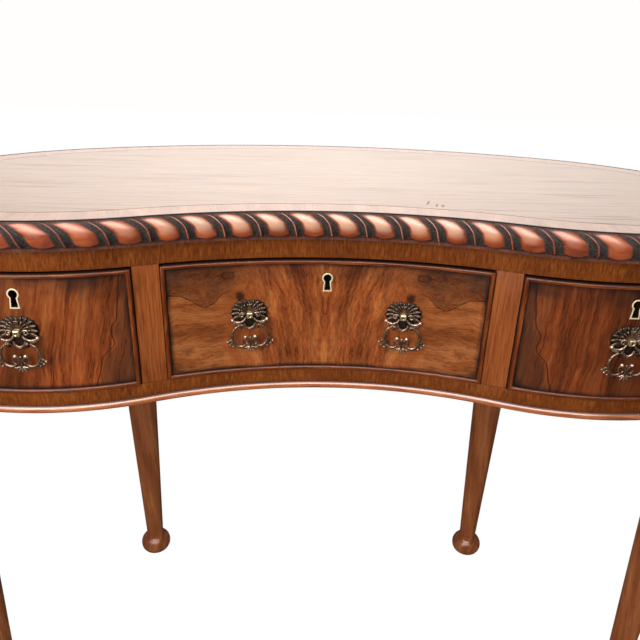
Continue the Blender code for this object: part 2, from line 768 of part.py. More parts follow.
def upright(mesh):
    """Stand a flat outline up: its y becomes z, its thickness runs along -y."""
    mesh.transform(Matrix.Rotation(math.pi / 2, 4, "X"))
    return mesh


def keyhole_rise():
    return DESK_HEIGHT - KEYHOLE_TOP_DROP - KEYHOLE_HEAD_RADIUS


def cut_lock_seat(front, s, high):
    """The pocket for the lock in the back of the front, and the keyhole."""
    gap = GLUE_GAP
    size = (LOCK_WIDTH + 2 * gap, LOCK_DEPTH + gap + CUT_OVERRUN, LOCK_HEIGHT + gap + CUT_OVERRUN)
    centre_y = DRAWER_FRONT_THICKNESS - LOCK_DEPTH - gap + size[1] / 2
    centre = (0.0, centre_y, CUT_OVERRUN - size[2] / 2)
    combine(front, guide("lock_pocket", box_mesh(size, centre), face_frame(s, high)), "DIFFERENCE")
    hole = outline_mesh([keyhole_outline(gap)], -DRAWER_FRONT_THICKNESS, CUT_OVERRUN)
    frame = face_frame(s, keyhole_rise())
    combine(front, guide("keyhole_cutter", upright(hole), frame), "DIFFERENCE")


def make_lock(name, s, high):
    """Escutcheon, lock case and bolt of one drawer."""
    outer = keyhole_outline(0.0)
    inner = keyhole_outline(-ESCUTCHEON_WALL)
    proud = ESCUTCHEON_PROUD
    ring = keep_mesh(name + "_escutcheon",
                     upright(outline_mesh([outer, inner], proud - ESCUTCHEON_DEPTH, proud)), BRASS_BRIGHT)
    ring.matrix_world = face_frame(s, keyhole_rise())
    case_y = DRAWER_FRONT_THICKNESS - LOCK_DEPTH / 2
    case = keep_mesh(name + "_lock_case",
                     box_mesh((LOCK_WIDTH, LOCK_DEPTH, LOCK_HEIGHT), (0.0, case_y, -LOCK_HEIGHT / 2)),
                     STEEL_PLAIN)
    case.matrix_world = face_frame(s, high)
    slot_height = BOLT_BODY_HEIGHT + GLUE_GAP
    slot_size = (BOLT_WIDTH + 2 * GLUE_GAP, BOLT_DEPTH + 2 * GLUE_GAP, slot_height + CUT_OVERRUN)
    slot = box_mesh(slot_size, (0.0, case_y, (CUT_OVERRUN - slot_height) / 2))
    combine(case, guide(name + "_bolt_slot", slot, face_frame(s, high)), "DIFFERENCE")
    bolt = keep_mesh(name + "_lock_bolt",
                     box_mesh((BOLT_WIDTH, BOLT_DEPTH, BOLT_BODY_HEIGHT),
                              (0.0, 0.0, -BOLT_BODY_HEIGHT / 2)), BRASS_BRIGHT)
    bolt.matrix_world = face_frame(s, high) @ Matrix.Translation((0.0, case_y, 0.0))


# Pulls

def plate_reach(angle):
    """Radius of the plate at an angle from straight up, with a scalloped fan."""
    turn = math.degrees(abs(angle))
    spans = zip(PLATE_ANGLES, PLATE_ANGLES[1:], PLATE_REACH_SHARES, PLATE_REACH_SHARES[1:])
    for first, last, near, far in spans:
        if turn <= last:
            break
    blend = min(max((turn - first) / (last - first), 0.0), 1.0)
    blend = blend * blend * (3 - 2 * blend)
    return PLATE_HALF_WIDTH * (near + (far - near) * blend)


def plate_mesh():
    """The cast back plate: a fluted dome with a scalloped rim and a flat back."""
    shell = bmesh.new()
    top = shell.verts.new((0.0, -PLATE_DOME - PLATE_RIM, 0.0))
    rows = []
    for share in PLATE_RING_SHARES:
        row = []
        for step in range(PLATE_STEPS):
            angle = 2 * math.pi * step / PLATE_STEPS
            if angle > math.pi:
                angle -= 2 * math.pi
            fan = max(0.0, math.cos(angle * PLATE_FAN_SHARE))
            flute = math.cos(2 * PLATE_FLUTES * angle) * PLATE_FLUTE * fan
            reach = plate_reach(angle) * share + flute * share
            rise = PLATE_RIM + PLATE_DOME * (1.0 - share ** 2) + flute * share
            row.append(shell.verts.new((reach * math.sin(angle), -rise, reach * math.cos(angle))))
        rows.append(row)
    rim = [shell.verts.new((vert.co.x, 0.0, vert.co.z)) for vert in rows[-1]]
    rows.append(rim)
    for index in range(PLATE_STEPS):
        other = (index + 1) % PLATE_STEPS
        shell.faces.new((top, rows[0][index], rows[0][other]))
        for near, far in zip(rows, rows[1:]):
            shell.faces.new((near[index], far[index], far[other], near[other]))
    shell.faces.new(rim)
    mesh = bpy.data.meshes.new("plate")
    shell.to_mesh(mesh)
    shell.free()
    return mesh


def seat_inset(s):
    """How far a flat-backed plate stands off a hollow face so its ends clear it."""
    hollow = PLATE_HALF_WIDTH ** 2 / (2 * HOLLOW_RADIUS) if radius_at(s) < 0 else 0.0
    return -(GLUE_GAP + hollow)


def make_pull(name, s):
    """One pull: the back plate with its square nut and ears, and the hanging drop."""
    frame = face_frame(s, DESK_HEIGHT - PULL_DROP_FROM_TOP, seat_inset(s))
    plate = keep_mesh(name + "_plate", plate_mesh(), BRONZE_CAST, smooth=True)
    plate.matrix_world = frame
    nut = box_mesh((NUT_SIDE, NUT_REACH - PLATE_RIM, NUT_SIDE),
                   (0.0, -(NUT_REACH + PLATE_RIM) / 2, 0.0))
    combine(plate, guide(name + "_nut", nut, frame), "UNION")
    across = Matrix.Rotation(math.pi / 2, 4, "Y")
    for sign in (-1, 1):
        place_at = Matrix.Translation((sign * PIVOT_EAR_X, -PIVOT_REACH, -PIVOT_DROP))
        ear = rod_mesh(EAR_RADIUS, EAR_WIDTH, PIN_SEGMENTS, across)
        combine(plate, guide(name + "_ear", ear, frame @ place_at), "UNION")
        web = box_mesh((EAR_WIDTH, PIVOT_REACH - PLATE_RIM / 2, EAR_RADIUS * 2),
                       (0.0, (PIVOT_REACH - PLATE_RIM / 2) / 2, EAR_RADIUS))
        combine(plate, guide(name + "_ear_web", web, frame @ place_at), "UNION")
    for sign in (-1, 1):
        place_at = Matrix.Translation((sign * PIVOT_EAR_X, -PIVOT_REACH, -PIVOT_DROP))
        bore = rod_mesh(PIN_RADIUS + PIN_GAP, EAR_WIDTH + 2 * EAR_GAP, PIN_SEGMENTS, across)
        combine(plate, guide(name + "_pin_hole", bore, frame @ place_at), "DIFFERENCE")
    make_drop(name, frame @ Matrix.Translation((0.0, -PIVOT_REACH, -PIVOT_DROP)))


def on_oval(half_width, half_height, middle, angle):
    """Point of an oval at an angle from straight up."""
    return half_width * math.sin(angle), middle + half_height * math.cos(angle)


def oval(half_width, half_height, middle, count):
    return [on_oval(half_width, half_height, middle, 2 * math.pi * step / count) for step in range(count)]


def make_drop(name, frame):
    """The openwork drop: an oval ring with leaf tips, a palmette and two volutes."""
    half_height = DROP_RING_HEIGHT / 2
    middle = DROP_RING_RISE - half_height
    ring = [oval(DROP_HALF_WIDTH, half_height, middle, DROP_STEPS),
            oval(DROP_HALF_WIDTH - DROP_WIRE, half_height - DROP_WIRE, middle, DROP_STEPS)]
    drop = keep_mesh(name + "_drop", slab_about(ring, DROP_THICKNESS), BRONZE_CAST)
    drop.matrix_world = frame
    gap_width = 2 * PIVOT_EAR_X + EAR_WIDTH + 2 * EAR_GAP
    gap_low = -EAR_RADIUS - EAR_GAP
    gap_high = DROP_RING_RISE + CUT_OVERRUN
    notch = box_mesh((gap_width, DROP_THICKNESS + CUT_OVERRUN, gap_high - gap_low),
                     (0.0, 0.0, (gap_low + gap_high) / 2))
    combine(drop, guide(name + "_ear_gap", notch, frame), "DIFFERENCE")
    across = Matrix.Rotation(math.pi / 2, 4, "Y")
    pin = rod_mesh(PIN_RADIUS, 2 * PIVOT_EAR_X + EAR_WIDTH * 2, PIN_SEGMENTS, across)
    combine(drop, guide(name + "_pin", pin, frame), "UNION")
    roots = [on_oval(DROP_HALF_WIDTH - DROP_WIRE / 2, half_height - DROP_WIRE / 2, middle, angle)
             for angle in (LEAF_FROM, LEAF_TO)]
    tips = [(LEAF_TIP_X, -LEAF_TIP_DROP), (LEAF_TIP_X - LEAF_WIDTH / 2, -LEAF_TIP_DROP - LEAF_WIDTH)]
    for sign in (-1, 1):
        points = [(sign * x, z) for x, z in (roots[0], tips[0], tips[1], roots[1])]
        combine(drop, guide(name + "_leaf", slab_about([points], LEAF_THICKNESS), frame), "UNION")
    palmette = slab_about([palmette_outline(middle - half_height)], PALMETTE_THICKNESS)
    combine(drop, guide(name + "_palmette", palmette, frame), "UNION")
    for sign in (-1, 1):
        rise = middle - half_height + (DROP_WIRE + VOLUTE_HEIGHT) / 2
        volute = slab_about([oval(VOLUTE_WIDTH / 2, VOLUTE_HEIGHT / 2, rise, PIN_SEGMENTS)], VOLUTE_THICKNESS)
        volute.transform(Matrix.Translation((sign * VOLUTE_X, 0.0, 0.0)))
        combine(drop, guide(name + "_volute", volute, frame), "UNION")


def slab_about(outlines, thickness):
    """An upright flat shape whose thickness is shared either side of y = 0."""
    return upright(outline_mesh(outlines, -thickness / 2, thickness / 2))


def palmette_outline(root):
    """A fan of petals that hangs from the bottom of the ring."""
    points = []
    count = PALMETTE_PETALS * PALMETTE_PETAL_STEPS
    for step in range(count + 1):
        share = step / count
        angle = PALMETTE_HALF_SPREAD * (2 * share - 1)
        petal = abs(math.sin(math.pi * PALMETTE_PETALS * share))
        reach = PALMETTE_RADIUS * (PALMETTE_NOTCH_SHARE + (1 - PALMETTE_NOTCH_SHARE) * petal)
        points.append((reach * math.sin(angle), root + DROP_WIRE - reach * math.cos(angle)))
    return points


# Finishes

TOP_WOOD = material("top_wood", WALNUT, 0.30, 0.0)
ROPE_WOOD = material("rope_wood", WALNUT_RED, 0.35, 0.0)
RAIL_WOOD = material("rail_wood", WALNUT, 0.40, 0.0)
STILE_WOOD = material("stile_wood", WALNUT, 0.40, 0.0)
PANEL_WOOD = material("panel_wood", WALNUT, 0.40, 0.0)
BEAD_WOOD = material("bead_wood", WALNUT_RED, 0.35, 0.0)
INNER_WOOD = material("inner_wood", OAK, 0.70, 0.0)
LEG_WOOD = material("leg_wood", WALNUT, 0.40, 0.0)
FRONT_VENEER = material("front_veneer", WALNUT_DARK, 0.35, 0.0)
DRAWER_WOOD = material("drawer_wood", OAK, 0.70, 0.0)
BRONZE_CAST = material("bronze_cast", BRONZE, 0.40, 1.0)
BRASS_BRIGHT = material("brass_bright", BRASS, 0.25, 1.0)
STEEL_PLAIN = material("steel_plain", STEEL, 0.45, 1.0)


def make_desk():
    make_top()
    make_rope()
    front_end = make_front_frame()
    make_panels(front_end)
    make_base_bead()
    make_partitions()
    make_legs()
    side_s = s_at_x(SIDE_PULL_X, 0.0)
    make_drawer("centre_drawer", -INNER_STILE_NEAR, INNER_STILE_NEAR, 0.0, CENTRE_DRAWER_BACK_Y)
    make_drawer("right_drawer", INNER_STILE_FAR, OUTER_STILE_NEAR, side_s, SIDE_DRAWER_BACK_Y)
    make_drawer("left_drawer", -OUTER_STILE_NEAR, -INNER_STILE_FAR, -side_s, SIDE_DRAWER_BACK_Y)
    centre_s = s_at_x(CENTRE_PULL_X, 0.0)
    make_pull("pull_left", -side_s)
    make_pull("pull_centre_left", -centre_s)
    make_pull("pull_centre_right", centre_s)
    make_pull("pull_right", side_s)


make_desk()
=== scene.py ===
"""The finished look of the kidney shaped walnut desk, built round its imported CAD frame.

Metres, +Z up, the front faces -Y, the origin is on the floor under the middle. Plan
lines are offsets of the carcass face line, a chain of tangent arcs from the middle of
the front round to the middle of the back. A distance along it is called s.
"""
import math

import bpy
from mathutils import Matrix, Vector, geometry


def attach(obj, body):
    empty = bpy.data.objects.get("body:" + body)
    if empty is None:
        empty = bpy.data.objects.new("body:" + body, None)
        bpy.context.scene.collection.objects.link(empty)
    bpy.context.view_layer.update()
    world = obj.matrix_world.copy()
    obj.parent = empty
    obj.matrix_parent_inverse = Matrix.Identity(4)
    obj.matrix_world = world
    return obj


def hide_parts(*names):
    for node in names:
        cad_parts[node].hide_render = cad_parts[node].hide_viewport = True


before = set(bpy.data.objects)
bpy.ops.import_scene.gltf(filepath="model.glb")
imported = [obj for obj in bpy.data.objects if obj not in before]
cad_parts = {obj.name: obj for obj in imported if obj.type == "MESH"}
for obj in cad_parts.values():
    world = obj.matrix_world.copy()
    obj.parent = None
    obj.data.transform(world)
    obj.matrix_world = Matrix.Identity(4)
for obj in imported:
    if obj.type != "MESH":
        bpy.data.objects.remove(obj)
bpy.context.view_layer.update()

# Heights and plan of the desk
DESK_HEIGHT = 0.762
CARCASS_TOP = 0.744
OPENING_TOP = 0.709
OPENING_BOTTOM = 0.5755
RAIL_BOTTOM = 0.5597
CARCASS_BOTTOM = 0.5516
HOLLOW_RADIUS = 0.500
HOLLOW_HALF_WIDTH = 0.19295
HOLLOW_ANGLE = math.asin(HOLLOW_HALF_WIDTH / HOLLOW_RADIUS)
LOBE_RADIUS = 0.313
LOBE_ANGLE = math.radians(50.2)
CORNER_RADIUS = 0.096
CORNER_ANGLE = math.radians(56.9)
END_RADIUS = 0.302
BACK_RADIUS = 0.762
TOP_OVERHANG = 0.0161
ROPE_BULGE = 0.0255
GAP = 0.0003
RAIL_DEPTH = 0.022
PANEL_THICKNESS = 0.016
INNER_STILE = (0.1730, 0.1978)
OUTER_STILE = (0.4196, 0.4440)
BACK_JOINT_X = 0.3200
SIDE_X = 0.3087
CENTRE_PULL_X = 0.0845
PULL_DROP = 0.1150


# Face line

def plan_arcs():
    """Centre, radius, first heading and length of each arc of the right half, front to back."""
    arcs = []
    spot = (0.0, 0.0, 0.0)
    for radius, turn in ((-HOLLOW_RADIUS, -HOLLOW_ANGLE), (LOBE_RADIUS, LOBE_ANGLE), (CORNER_RADIUS, CORNER_ANGLE)):
        spot = add_arc(arcs, spot, radius, turn)
    x, _, heading = spot
    back_turn = math.asin((x - END_RADIUS * math.sin(heading)) / (BACK_RADIUS - END_RADIUS))
    spot = add_arc(arcs, spot, END_RADIUS, math.pi - back_turn - heading)
    add_arc(arcs, spot, BACK_RADIUS, back_turn)
    return arcs


def add_arc(arcs, spot, radius, turn):
    """Add an arc from a spot, its x, y and heading, and give the spot at the arc's end."""
    x, y, heading = spot
    centre_x, centre_y = x - radius * math.sin(heading), y + radius * math.cos(heading)
    arcs.append((centre_x, centre_y, radius, heading, abs(radius * turn)))
    heading += turn
    return centre_x + radius * math.sin(heading), centre_y - radius * math.cos(heading), heading


ARCS = plan_arcs()
LOBE_END, CORNER_END, BACK_START, HALF_LENGTH = [sum(arc[4] for arc in ARCS[:count]) for count in (2, 3, 4, 5)]
PLAN_SHIFT = -((ARCS[1][1] - LOBE_RADIUS - ROPE_BULGE) + (ARCS[-1][1] + BACK_RADIUS + ROPE_BULGE)) / 2


def arc_at(s):
    """Centre and radius of the arc that holds s, the heading there and which side s is on."""
    s = (s + HALF_LENGTH) % (2 * HALF_LENGTH) - HALF_LENGTH
    run, side = abs(s), -1 if s < 0 else 1
    for centre_x, centre_y, radius, heading, length in ARCS[:-1]:
        if run <= length:
            break
        run -= length
    else:
        centre_x, centre_y, radius, heading, length = ARCS[-1]
    return centre_x, centre_y, radius, heading + min(run, length) / radius, side


def place(s, offset):
    """Plan point at s, moved outward by offset."""
    centre_x, centre_y, radius, heading, side = arc_at(s)
    reach = radius + offset
    return side * (centre_x + reach * math.sin(heading)), centre_y - reach * math.cos(heading) + PLAN_SHIFT


def s_at_x(x, offset, low=0.0, high=CORNER_END):
    """Distance along the right half where the offset line is at x, by halving."""
    rising = place(high, offset)[0] > place(low, offset)[0]
    for _ in range(40):
        middle = (low + high) / 2
        if (place(middle, offset)[0] < x) == rising:
            low = middle
        else:
            high = middle
    return (low + high) / 2


def s_at_back_x(x, offset):
    return s_at_x(x, offset, (CORNER_END + BACK_START) / 2, HALF_LENGTH)


def face_y(x, offset):
    """Y of the front face line, moved outward by offset, at x."""
    run = abs(x)
    reach = HOLLOW_RADIUS - offset
    if run <= reach * math.sin(HOLLOW_ANGLE):
        return PLAN_SHIFT + ARCS[0][1] + math.sqrt(reach ** 2 - run ** 2)
    reach = LOBE_RADIUS + offset
    return PLAN_SHIFT + ARCS[1][1] - math.sqrt(reach ** 2 - (run - ARCS[1][0]) ** 2)


def front_spot(x, offset):
    return x, face_y(x, offset)


def standing_at(s, offset, rise):
    """Frame on an offset line at s: x along it, y into the desk, z up."""
    *_, heading, side = arc_at(s)
    return Matrix.Translation((*place(s, offset), rise)) @ Matrix.Rotation(side * heading, 4, "Z")


def face_frame(x, rise, out=0.0):
    """Frame on the front face at x."""
    return standing_at(math.copysign(s_at_x(abs(x), 0.0), x), out, rise)


def steps(first, last, step):
    """Even steps from first to last, no longer than step."""
    count = max(1, math.ceil(abs(last - first) / step))
    return [first + (last - first) * i / count for i in range(count + 1)]


def ease(value, low, high):
    """0 below low, 1 above high, smooth between."""
    share = min(max((value - low) / (high - low), 0.0), 1.0)
    return share * share * (3 - 2 * share)


def arc(first, last, count):
    """Even points on a circle of radius 1, between two angles in degrees."""
    turns = [math.radians(first + (last - first) * i / count) for i in range(count + 1)]
    return [(math.cos(turn), math.sin(turn)) for turn in turns]


def circle(count, start=0.0):
    return arc(360.0 * start / count, 360.0 * (start / count + 1.0), count)[:-1]


# Forms

class Form:
    """Points, faces, UVs and shade values of one piece, gathered part by part.

    They are given in a frame of their own, in metres, or in millimetres with a unit of 0.001."""

    def __init__(self, seat=None, unit=1.0):
        self.verts, self.faces, self.uvs, self.shades = [], [], [], []
        self.unit = unit
        self.seat = (seat or Matrix.Identity(4)) @ Matrix.Scale(unit, 4)

    def point(self, spot, shade=0.0):
        self.verts.append(self.seat @ Vector(spot))
        self.shades.append(shade)
        return len(self.verts) - 1

    def face(self, corners, uvs):
        self.faces.append(corners)
        self.uvs += [(u * self.unit, v * self.unit) for u, v in uvs]

    def grid(self, rings, uvs=None, shades=0.0, ends="capped"):
        """Quads between rings of points. The first and last ring are capped, joined or open.

        uvs holds one more than a ring has points, and one more ring where the ends are joined.
        shades is one value for all, one for each ring, or one for each point."""
        count, base = len(rings[0]), len(self.verts)
        uvs = uvs or [[(float(k), 0.0) for k in range(count + 1)]] * (len(rings) + 1)
        shades = [shades] * len(rings) if isinstance(shades, float) else shades
        for ring, tones in zip(rings, shades):
            for spot, tone in zip(ring, [tones] * count if isinstance(tones, float) else tones):
                self.point(spot, tone)
        for r in range(len(rings) if ends == "joined" else len(rings) - 1):
            near, far = base + r * count, base + (r + 1) % len(rings) * count
            for c in range(count):
                d = (c + 1) % count
                self.face((near + c, near + d, far + d, far + c),
                          [uvs[r][c], uvs[r][c + 1], uvs[r + 1][c + 1], uvs[r + 1][c]])
        if ends == "capped":
            last = len(rings) - 1
            self.face([base + c for c in range(count)][::-1], uvs[0][:count][::-1])
            self.face([base + last * count + c for c in range(count)], uvs[last][:count])

    def tube(self, path, radii, sides, shade):
        """A round bar along a path, with its first, middle and last radius."""
        path = [Vector(p) for p in path]
        first, middle, last = radii
        rings, uvs = [], []
        run = 0.0
        for i, here in enumerate(path):
            share = i / (len(path) - 1)
            radius = first + (middle - first) * ease(share, 0.0, 0.35) + (last - middle) * ease(share, 0.6, 1.0)
            way = (path[min(i + 1, len(path) - 1)] - path[max(i - 1, 0)]).normalized()
            side = way.cross(Vector((0.0, 1.0, 0.0))).normalized()
            depth = side.cross(way)
            run += (here - path[i - 1]).length if i else 0.0
            rings.append([here + (side * x + depth * y) * radius for x, y in circle(sides)])
            uvs.append([(run, radius * 2 * math.pi * k / sides) for k in range(sides + 1)])
        self.grid(rings, uvs, shade)

    def ball(self, middle, radii, shade, turns):
        """A rounded knob with its own radius along each axis."""
        rings, uvs = [], []
        for i in range(1, turns // 2):
            tilt = math.pi * i / (turns // 2)
            wide, deep = radii[0] * math.sin(tilt), radii[1] * math.sin(tilt)
            height = middle[2] + radii[2] * math.cos(tilt)
            rings.append([(middle[0] + wide * x, middle[1] + deep * y, height) for x, y in circle(turns)])
            uvs.append([(radii[0] * k / turns, radii[2] * tilt) for k in range(turns + 1)])
        self.grid(rings, uvs, shade)

    def box(self, low, high, cut, shade=0.0):
        """A plain block with a small flat arris on its edges."""
        rings = []
        for z, inset in ((low[2], cut), (low[2] + cut, 0.0), (high[2] - cut, 0.0), (high[2], cut)):
            x0, x1, y0, y1 = low[0] + inset, high[0] - inset, low[1] + inset, high[1] - inset
            rings.append([(x0 + cut, y0, z), (x1 - cut, y0, z), (x1, y0 + cut, z), (x1, y1 - cut, z),
                          (x1 - cut, y1, z), (x0 + cut, y1, z), (x0, y1 - cut, z), (x0, y0 + cut, z)])
        self.grid(rings, [[(x + y, z) for x, y, z in ring + ring[:1]] for ring in rings], shade)

    def mesh(self, name, sharp):
        mesh = bpy.data.meshes.new(name)
        mesh.from_pydata([tuple(v) for v in self.verts], [], self.faces)
        layer = mesh.uv_layers.new(name="grain")
        for corner, uv in zip(layer.data, self.uvs):
            corner.uv = uv
        shade = mesh.attributes.new("shade", "FLOAT", "POINT")
        for item, value in zip(shade.data, self.shades):
            item.value = value
        mesh.validate()
        mesh.shade_smooth()
        mesh.set_sharp_from_angle(angle=math.radians(sharp))
        return mesh

    def piece(self, name, body, nodes, finish, sharp=32):
        """The piece as an object that rides on a body and stands for CAD nodes."""
        thing = bpy.data.objects.new(name, self.mesh(name, sharp))
        bpy.context.scene.collection.objects.link(thing)
        thing.data.materials.append(finish)
        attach(thing, body)
        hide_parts(*nodes)
        return thing


def moulding(name, node, finish, stations, section, spot=place, shade=None, sharp=32):
    """A carcass piece: a closed section of (offset, height) points carried along the face line."""
    girth = [0.0]
    for near, far in zip(section, section[1:] + section[:1]):
        girth.append(girth[-1] + math.dist(near, far))
    form = Form()
    form.grid([[(*spot(s, offset), height) for offset, height in section] for s in stations],
              [[(s, g) for g in girth] for s in stations],
              [[shade(*corner) for corner in section]] * len(stations) if shade else 0.0)
    return form.piece(name, "carcass", [node], finish, sharp)


def slab_section(inner, low, high, arris):
    """A plain section with eased front edges, from the back edge round the front."""
    cut = arris * 0.3
    return [(inner, low), (-arris, low), (-cut, low + cut), (0.0, low + arris),
            (0.0, high - arris), (-cut, high - cut), (-arris, high), (inner, high)]


# Top and carved rope edge

BORDER_WIDTH = 0.0362
TOP_THICKNESS = DESK_HEIGHT - CARCASS_TOP
JOINT_LINE = 0.00012
TOP_EDGE = TOP_OVERHANG - 0.0006
BORDER_INNER = TOP_EDGE - BORDER_WIDTH
# Offset, drop below the top and shade of the border, from its underside to the waxed joint. The full shade of its outer
# edge is dark wax with a painted shadow in the joint with the carved edge.
BORDER_LEVELS = (
    (TOP_EDGE - 0.004, TOP_THICKNESS, 1.0), (TOP_EDGE, TOP_THICKNESS - 0.0004, 1.0), (TOP_EDGE, 0.0009, 1.0),
    (TOP_EDGE - 0.0003, 0.0003, 1.0), (TOP_EDGE - 0.0009, 0.0, 1.0), (TOP_EDGE - 0.0038, 0.0, 1.0),
    (TOP_EDGE - 0.0056, 0.0, 0.0), (TOP_EDGE - 0.016, 0.0, 0.0), (BORDER_INNER + 0.0016, 0.0, 0.0),
    (BORDER_INNER + 0.0010, 0.0, 0.9), (BORDER_INNER + JOINT_LINE, 0.0, 0.9))


def make_top():
    """The veneered board: a field with straight grain inside a crossbanded border."""
    loop = steps(-HALF_LENGTH, HALF_LENGTH, 0.006)
    form = Form()
    form.grid([[(*place(s, offset), DESK_HEIGHT - drop) for s in loop[:-1]] for offset, drop, _ in BORDER_LEVELS],
              [[(s, offset - drop) for s in loop] for offset, drop, _ in BORDER_LEVELS],
              [tone for _, _, tone in BORDER_LEVELS], ends="open")
    form.piece("top_border", "carcass", ["top_board"], BORDER_WOOD)
    form = Form()
    outline = [place(s, BORDER_INNER - JOINT_LINE) for s in loop[:-1]]
    form.grid([[(*spot, z) for spot in outline] for z in (CARCASS_TOP, DESK_HEIGHT)], [outline + outline[:1]] * 2)
    form.piece("top_field", "carcass", ["top_board"], FIELD_WOOD)


ROPE_HEIGHT = 0.0316
ROPE_FOOT = 0.0023
ROPE_CREST = 0.0110
ROPE_TOP_ROUND = 0.0152
ROPE_FILLET = 0.0042
ROPE_DEPTH = 0.0062
ROPE_INSET = 0.0018
ROPE_SLANT = 0.62
ROPE_START = 0.47
ROPE_UNDERCUT = 0.0183
ROPE_COUNT = round(2 * HALF_LENGTH / 0.0372)
ROPE_PITCH = 2 * HALF_LENGTH / ROPE_COUNT
ROPE_GIRTH = 0.043
# Shares of a lobe's pitch: the half width of the fillet, and where the groove beside it is deepest
FILLET_EDGE = 0.042
GROOVE = 0.15


def rope_section(share):
    """Offset, drop and outward direction of the uncarved moulding at a share of its girth."""
    top_angle = math.acos((TOP_OVERHANG - ROPE_BULGE + ROPE_TOP_ROUND) / ROPE_TOP_ROUND)
    angle = top_angle - share * (top_angle + math.pi / 2)
    if angle > 0:
        across, up, middle = ROPE_TOP_ROUND, ROPE_CREST / math.sin(top_angle), ROPE_BULGE - ROPE_TOP_ROUND
    else:
        across, up, middle = ROPE_BULGE - ROPE_FOOT, ROPE_HEIGHT - ROPE_CREST, ROPE_FOOT
    out = Vector((math.cos(angle) / across, math.sin(angle) / up)).normalized()
    return middle + across * math.cos(angle), ROPE_CREST - up * math.sin(angle), out


def rope_carving(away):
    """Depth and darkening of the carving at a share of the pitch away from the fillet's middle. The darkening is black
    wax with painted shade in the grooves.
    """
    if away < FILLET_EDGE:
        return ROPE_FILLET - 0.0022 * math.cos(math.pi / 2 * away / FILLET_EDGE) ** 0.6, 1.0
    if away < GROOVE:
        blend = math.sin(math.pi / 2 * (away - FILLET_EDGE) / (GROOVE - FILLET_EDGE))
        return ROPE_FILLET + (ROPE_DEPTH - ROPE_FILLET) * blend, 1.0
    swell = math.sin(math.pi / 2 * (away - GROOVE) / (0.5 - GROOVE))
    return ROPE_INSET + (ROPE_DEPTH - ROPE_INSET) * (1.0 - swell), 1.0 - ease(away, 0.19, 0.28)


def rope_tone(share, phase, fade, groove, side):
    """Shade value of the rope: painted shadow along its top rim at the border and along its bottom rim, black wax with
    painted shade in the grooves, and a painted highlight on the fillet and the upper lobes, weaker toward the ends,
    where the lower lobes take painted shade.
    """
    rim = max(1.0 - ease(share, 0.02, 0.07), ease(share, 0.70, 0.768) - 0.26 * ease(share, 0.815, 0.845))
    thread = (1.0 - ease(min(phase, 1.0 - phase), 0.008, 0.024)) * (1.0 - rim)
    # Painted highlight: the upper lobes are painted pale, less toward the ends.
    painted_highlight = ease(share, 0.04, 0.14) * (1.0 - ease(share, 0.40, 0.66)) * (1.0 - 0.75 * side)
    painted_highlight *= ease(phase, 0.18, 0.28 + 0.10 * side) * (1.0 - ease(phase, 0.64 - 0.14 * side, 0.82))
    dark = groove * min(1.0, fade * 2.4) * (1.0 - 0.6 * ease(share, 0.825, 0.85))
    value = max(dark, rim) if max(groove, rim) > 0.05 else 0.18 * side * ease(share, 0.30, 0.60) - painted_highlight
    return value + (0.75 * side - 0.45 - value) * thread


def make_rope():
    """The carved edge in its three glued lengths, each cut where two lobes meet."""
    phases = [0.0, 0.010, 0.020, 0.031, FILLET_EDGE, 0.06, 0.08, 0.10, 0.125, GROOVE, 0.17, 0.19, 0.21, 0.23, 0.26,
              0.30, 0.36, 0.43, 0.5]
    phases += [1.0 - p for p in phases[-2:0:-1]]
    shares = steps(0.0, 0.64, 0.035) + steps(0.66, 0.74, 0.02) + steps(0.755, 0.90, 0.0145) + [0.95, 1.0]
    sections = [rope_section(share) for share in shares]
    joints = [round(share * ROPE_COUNT) for share in (-0.24, 0.24, 0.50)]
    joints.append(joints[0] + ROPE_COUNT)
    for name, first, last in zip(("front", "right", "left"), joints, joints[1:]):
        form = Form()
        rings, uvs, shades = [], [], []
        for turn in [lobe + phase for lobe in range(first, last) for phase in phases] + [last - GAP / ROPE_PITCH]:
            phase, seat = turn % 1.0, (turn + ROPE_START) * ROPE_PITCH
            carved, groove = rope_carving(min(phase, 1.0 - phase))
            ring, uv, tone = [], [], []
            for share, (offset, drop, out) in zip(shares, sections):
                fade = math.sin(math.pi * share) ** 0.45 if 0.0 < share < 1.0 else 0.0
                foot = ease(share, 0.765, 0.80)
                depth = carved * fade * (1.0 - foot) + 0.0032 * foot * (1.0 - ease(share, 0.84, 0.87))
                s = seat + ROPE_SLANT * math.sqrt(max(0.0, 1.0 - (1.0 - share) ** 2)) * ROPE_PITCH
                ring.append((*place(s, offset - out.x * depth), DESK_HEIGHT - drop - out.y * depth))
                uv.append((s, share * ROPE_GIRTH))
                tone.append(rope_tone(share, phase, fade, groove, ease(abs(s), 0.10, 0.27)))
            for offset, drop in ((GAP, ROPE_HEIGHT), (GAP, ROPE_UNDERCUT), (TOP_OVERHANG - GAP, ROPE_UNDERCUT)):
                ring.append((*place(seat, offset), DESK_HEIGHT - drop))
                uv.append((seat, offset))
                tone.append(0.5)
            rings.append(ring)
            uvs.append(uv + uv[:1])
            shades.append(tone)
        form.grid(rings, uvs, shades)
        form.piece("carved_edge_" + name, "carcass", ["rope_edge_" + name], ROPE_WOOD, sharp=50)


# Carcass

RAILS = (("top", OPENING_TOP, CARCASS_TOP - GAP), ("bottom", RAIL_BOTTOM + GAP, OPENING_BOTTOM))
BEAD_HALF = (RAIL_BOTTOM - CARCASS_BOTTOM) / 2
BEAD_MIDDLE = CARCASS_BOTTOM + BEAD_HALF
BEAD_OUT = 0.0044
BEAD_BACK = 0.0158
MOULDING_STEP = 0.008
# Blocks that are cut away, low and high corner: a lock bolt's mortise, and the bed of a lock
BOLT_MORTISE = ((-0.0078, 0.0127, -0.002), (0.0078, 0.0183, 0.0068))
LOCK_BED = ((-0.0253, 0.0107, -0.0363), (0.0253, 0.024, 0.004))


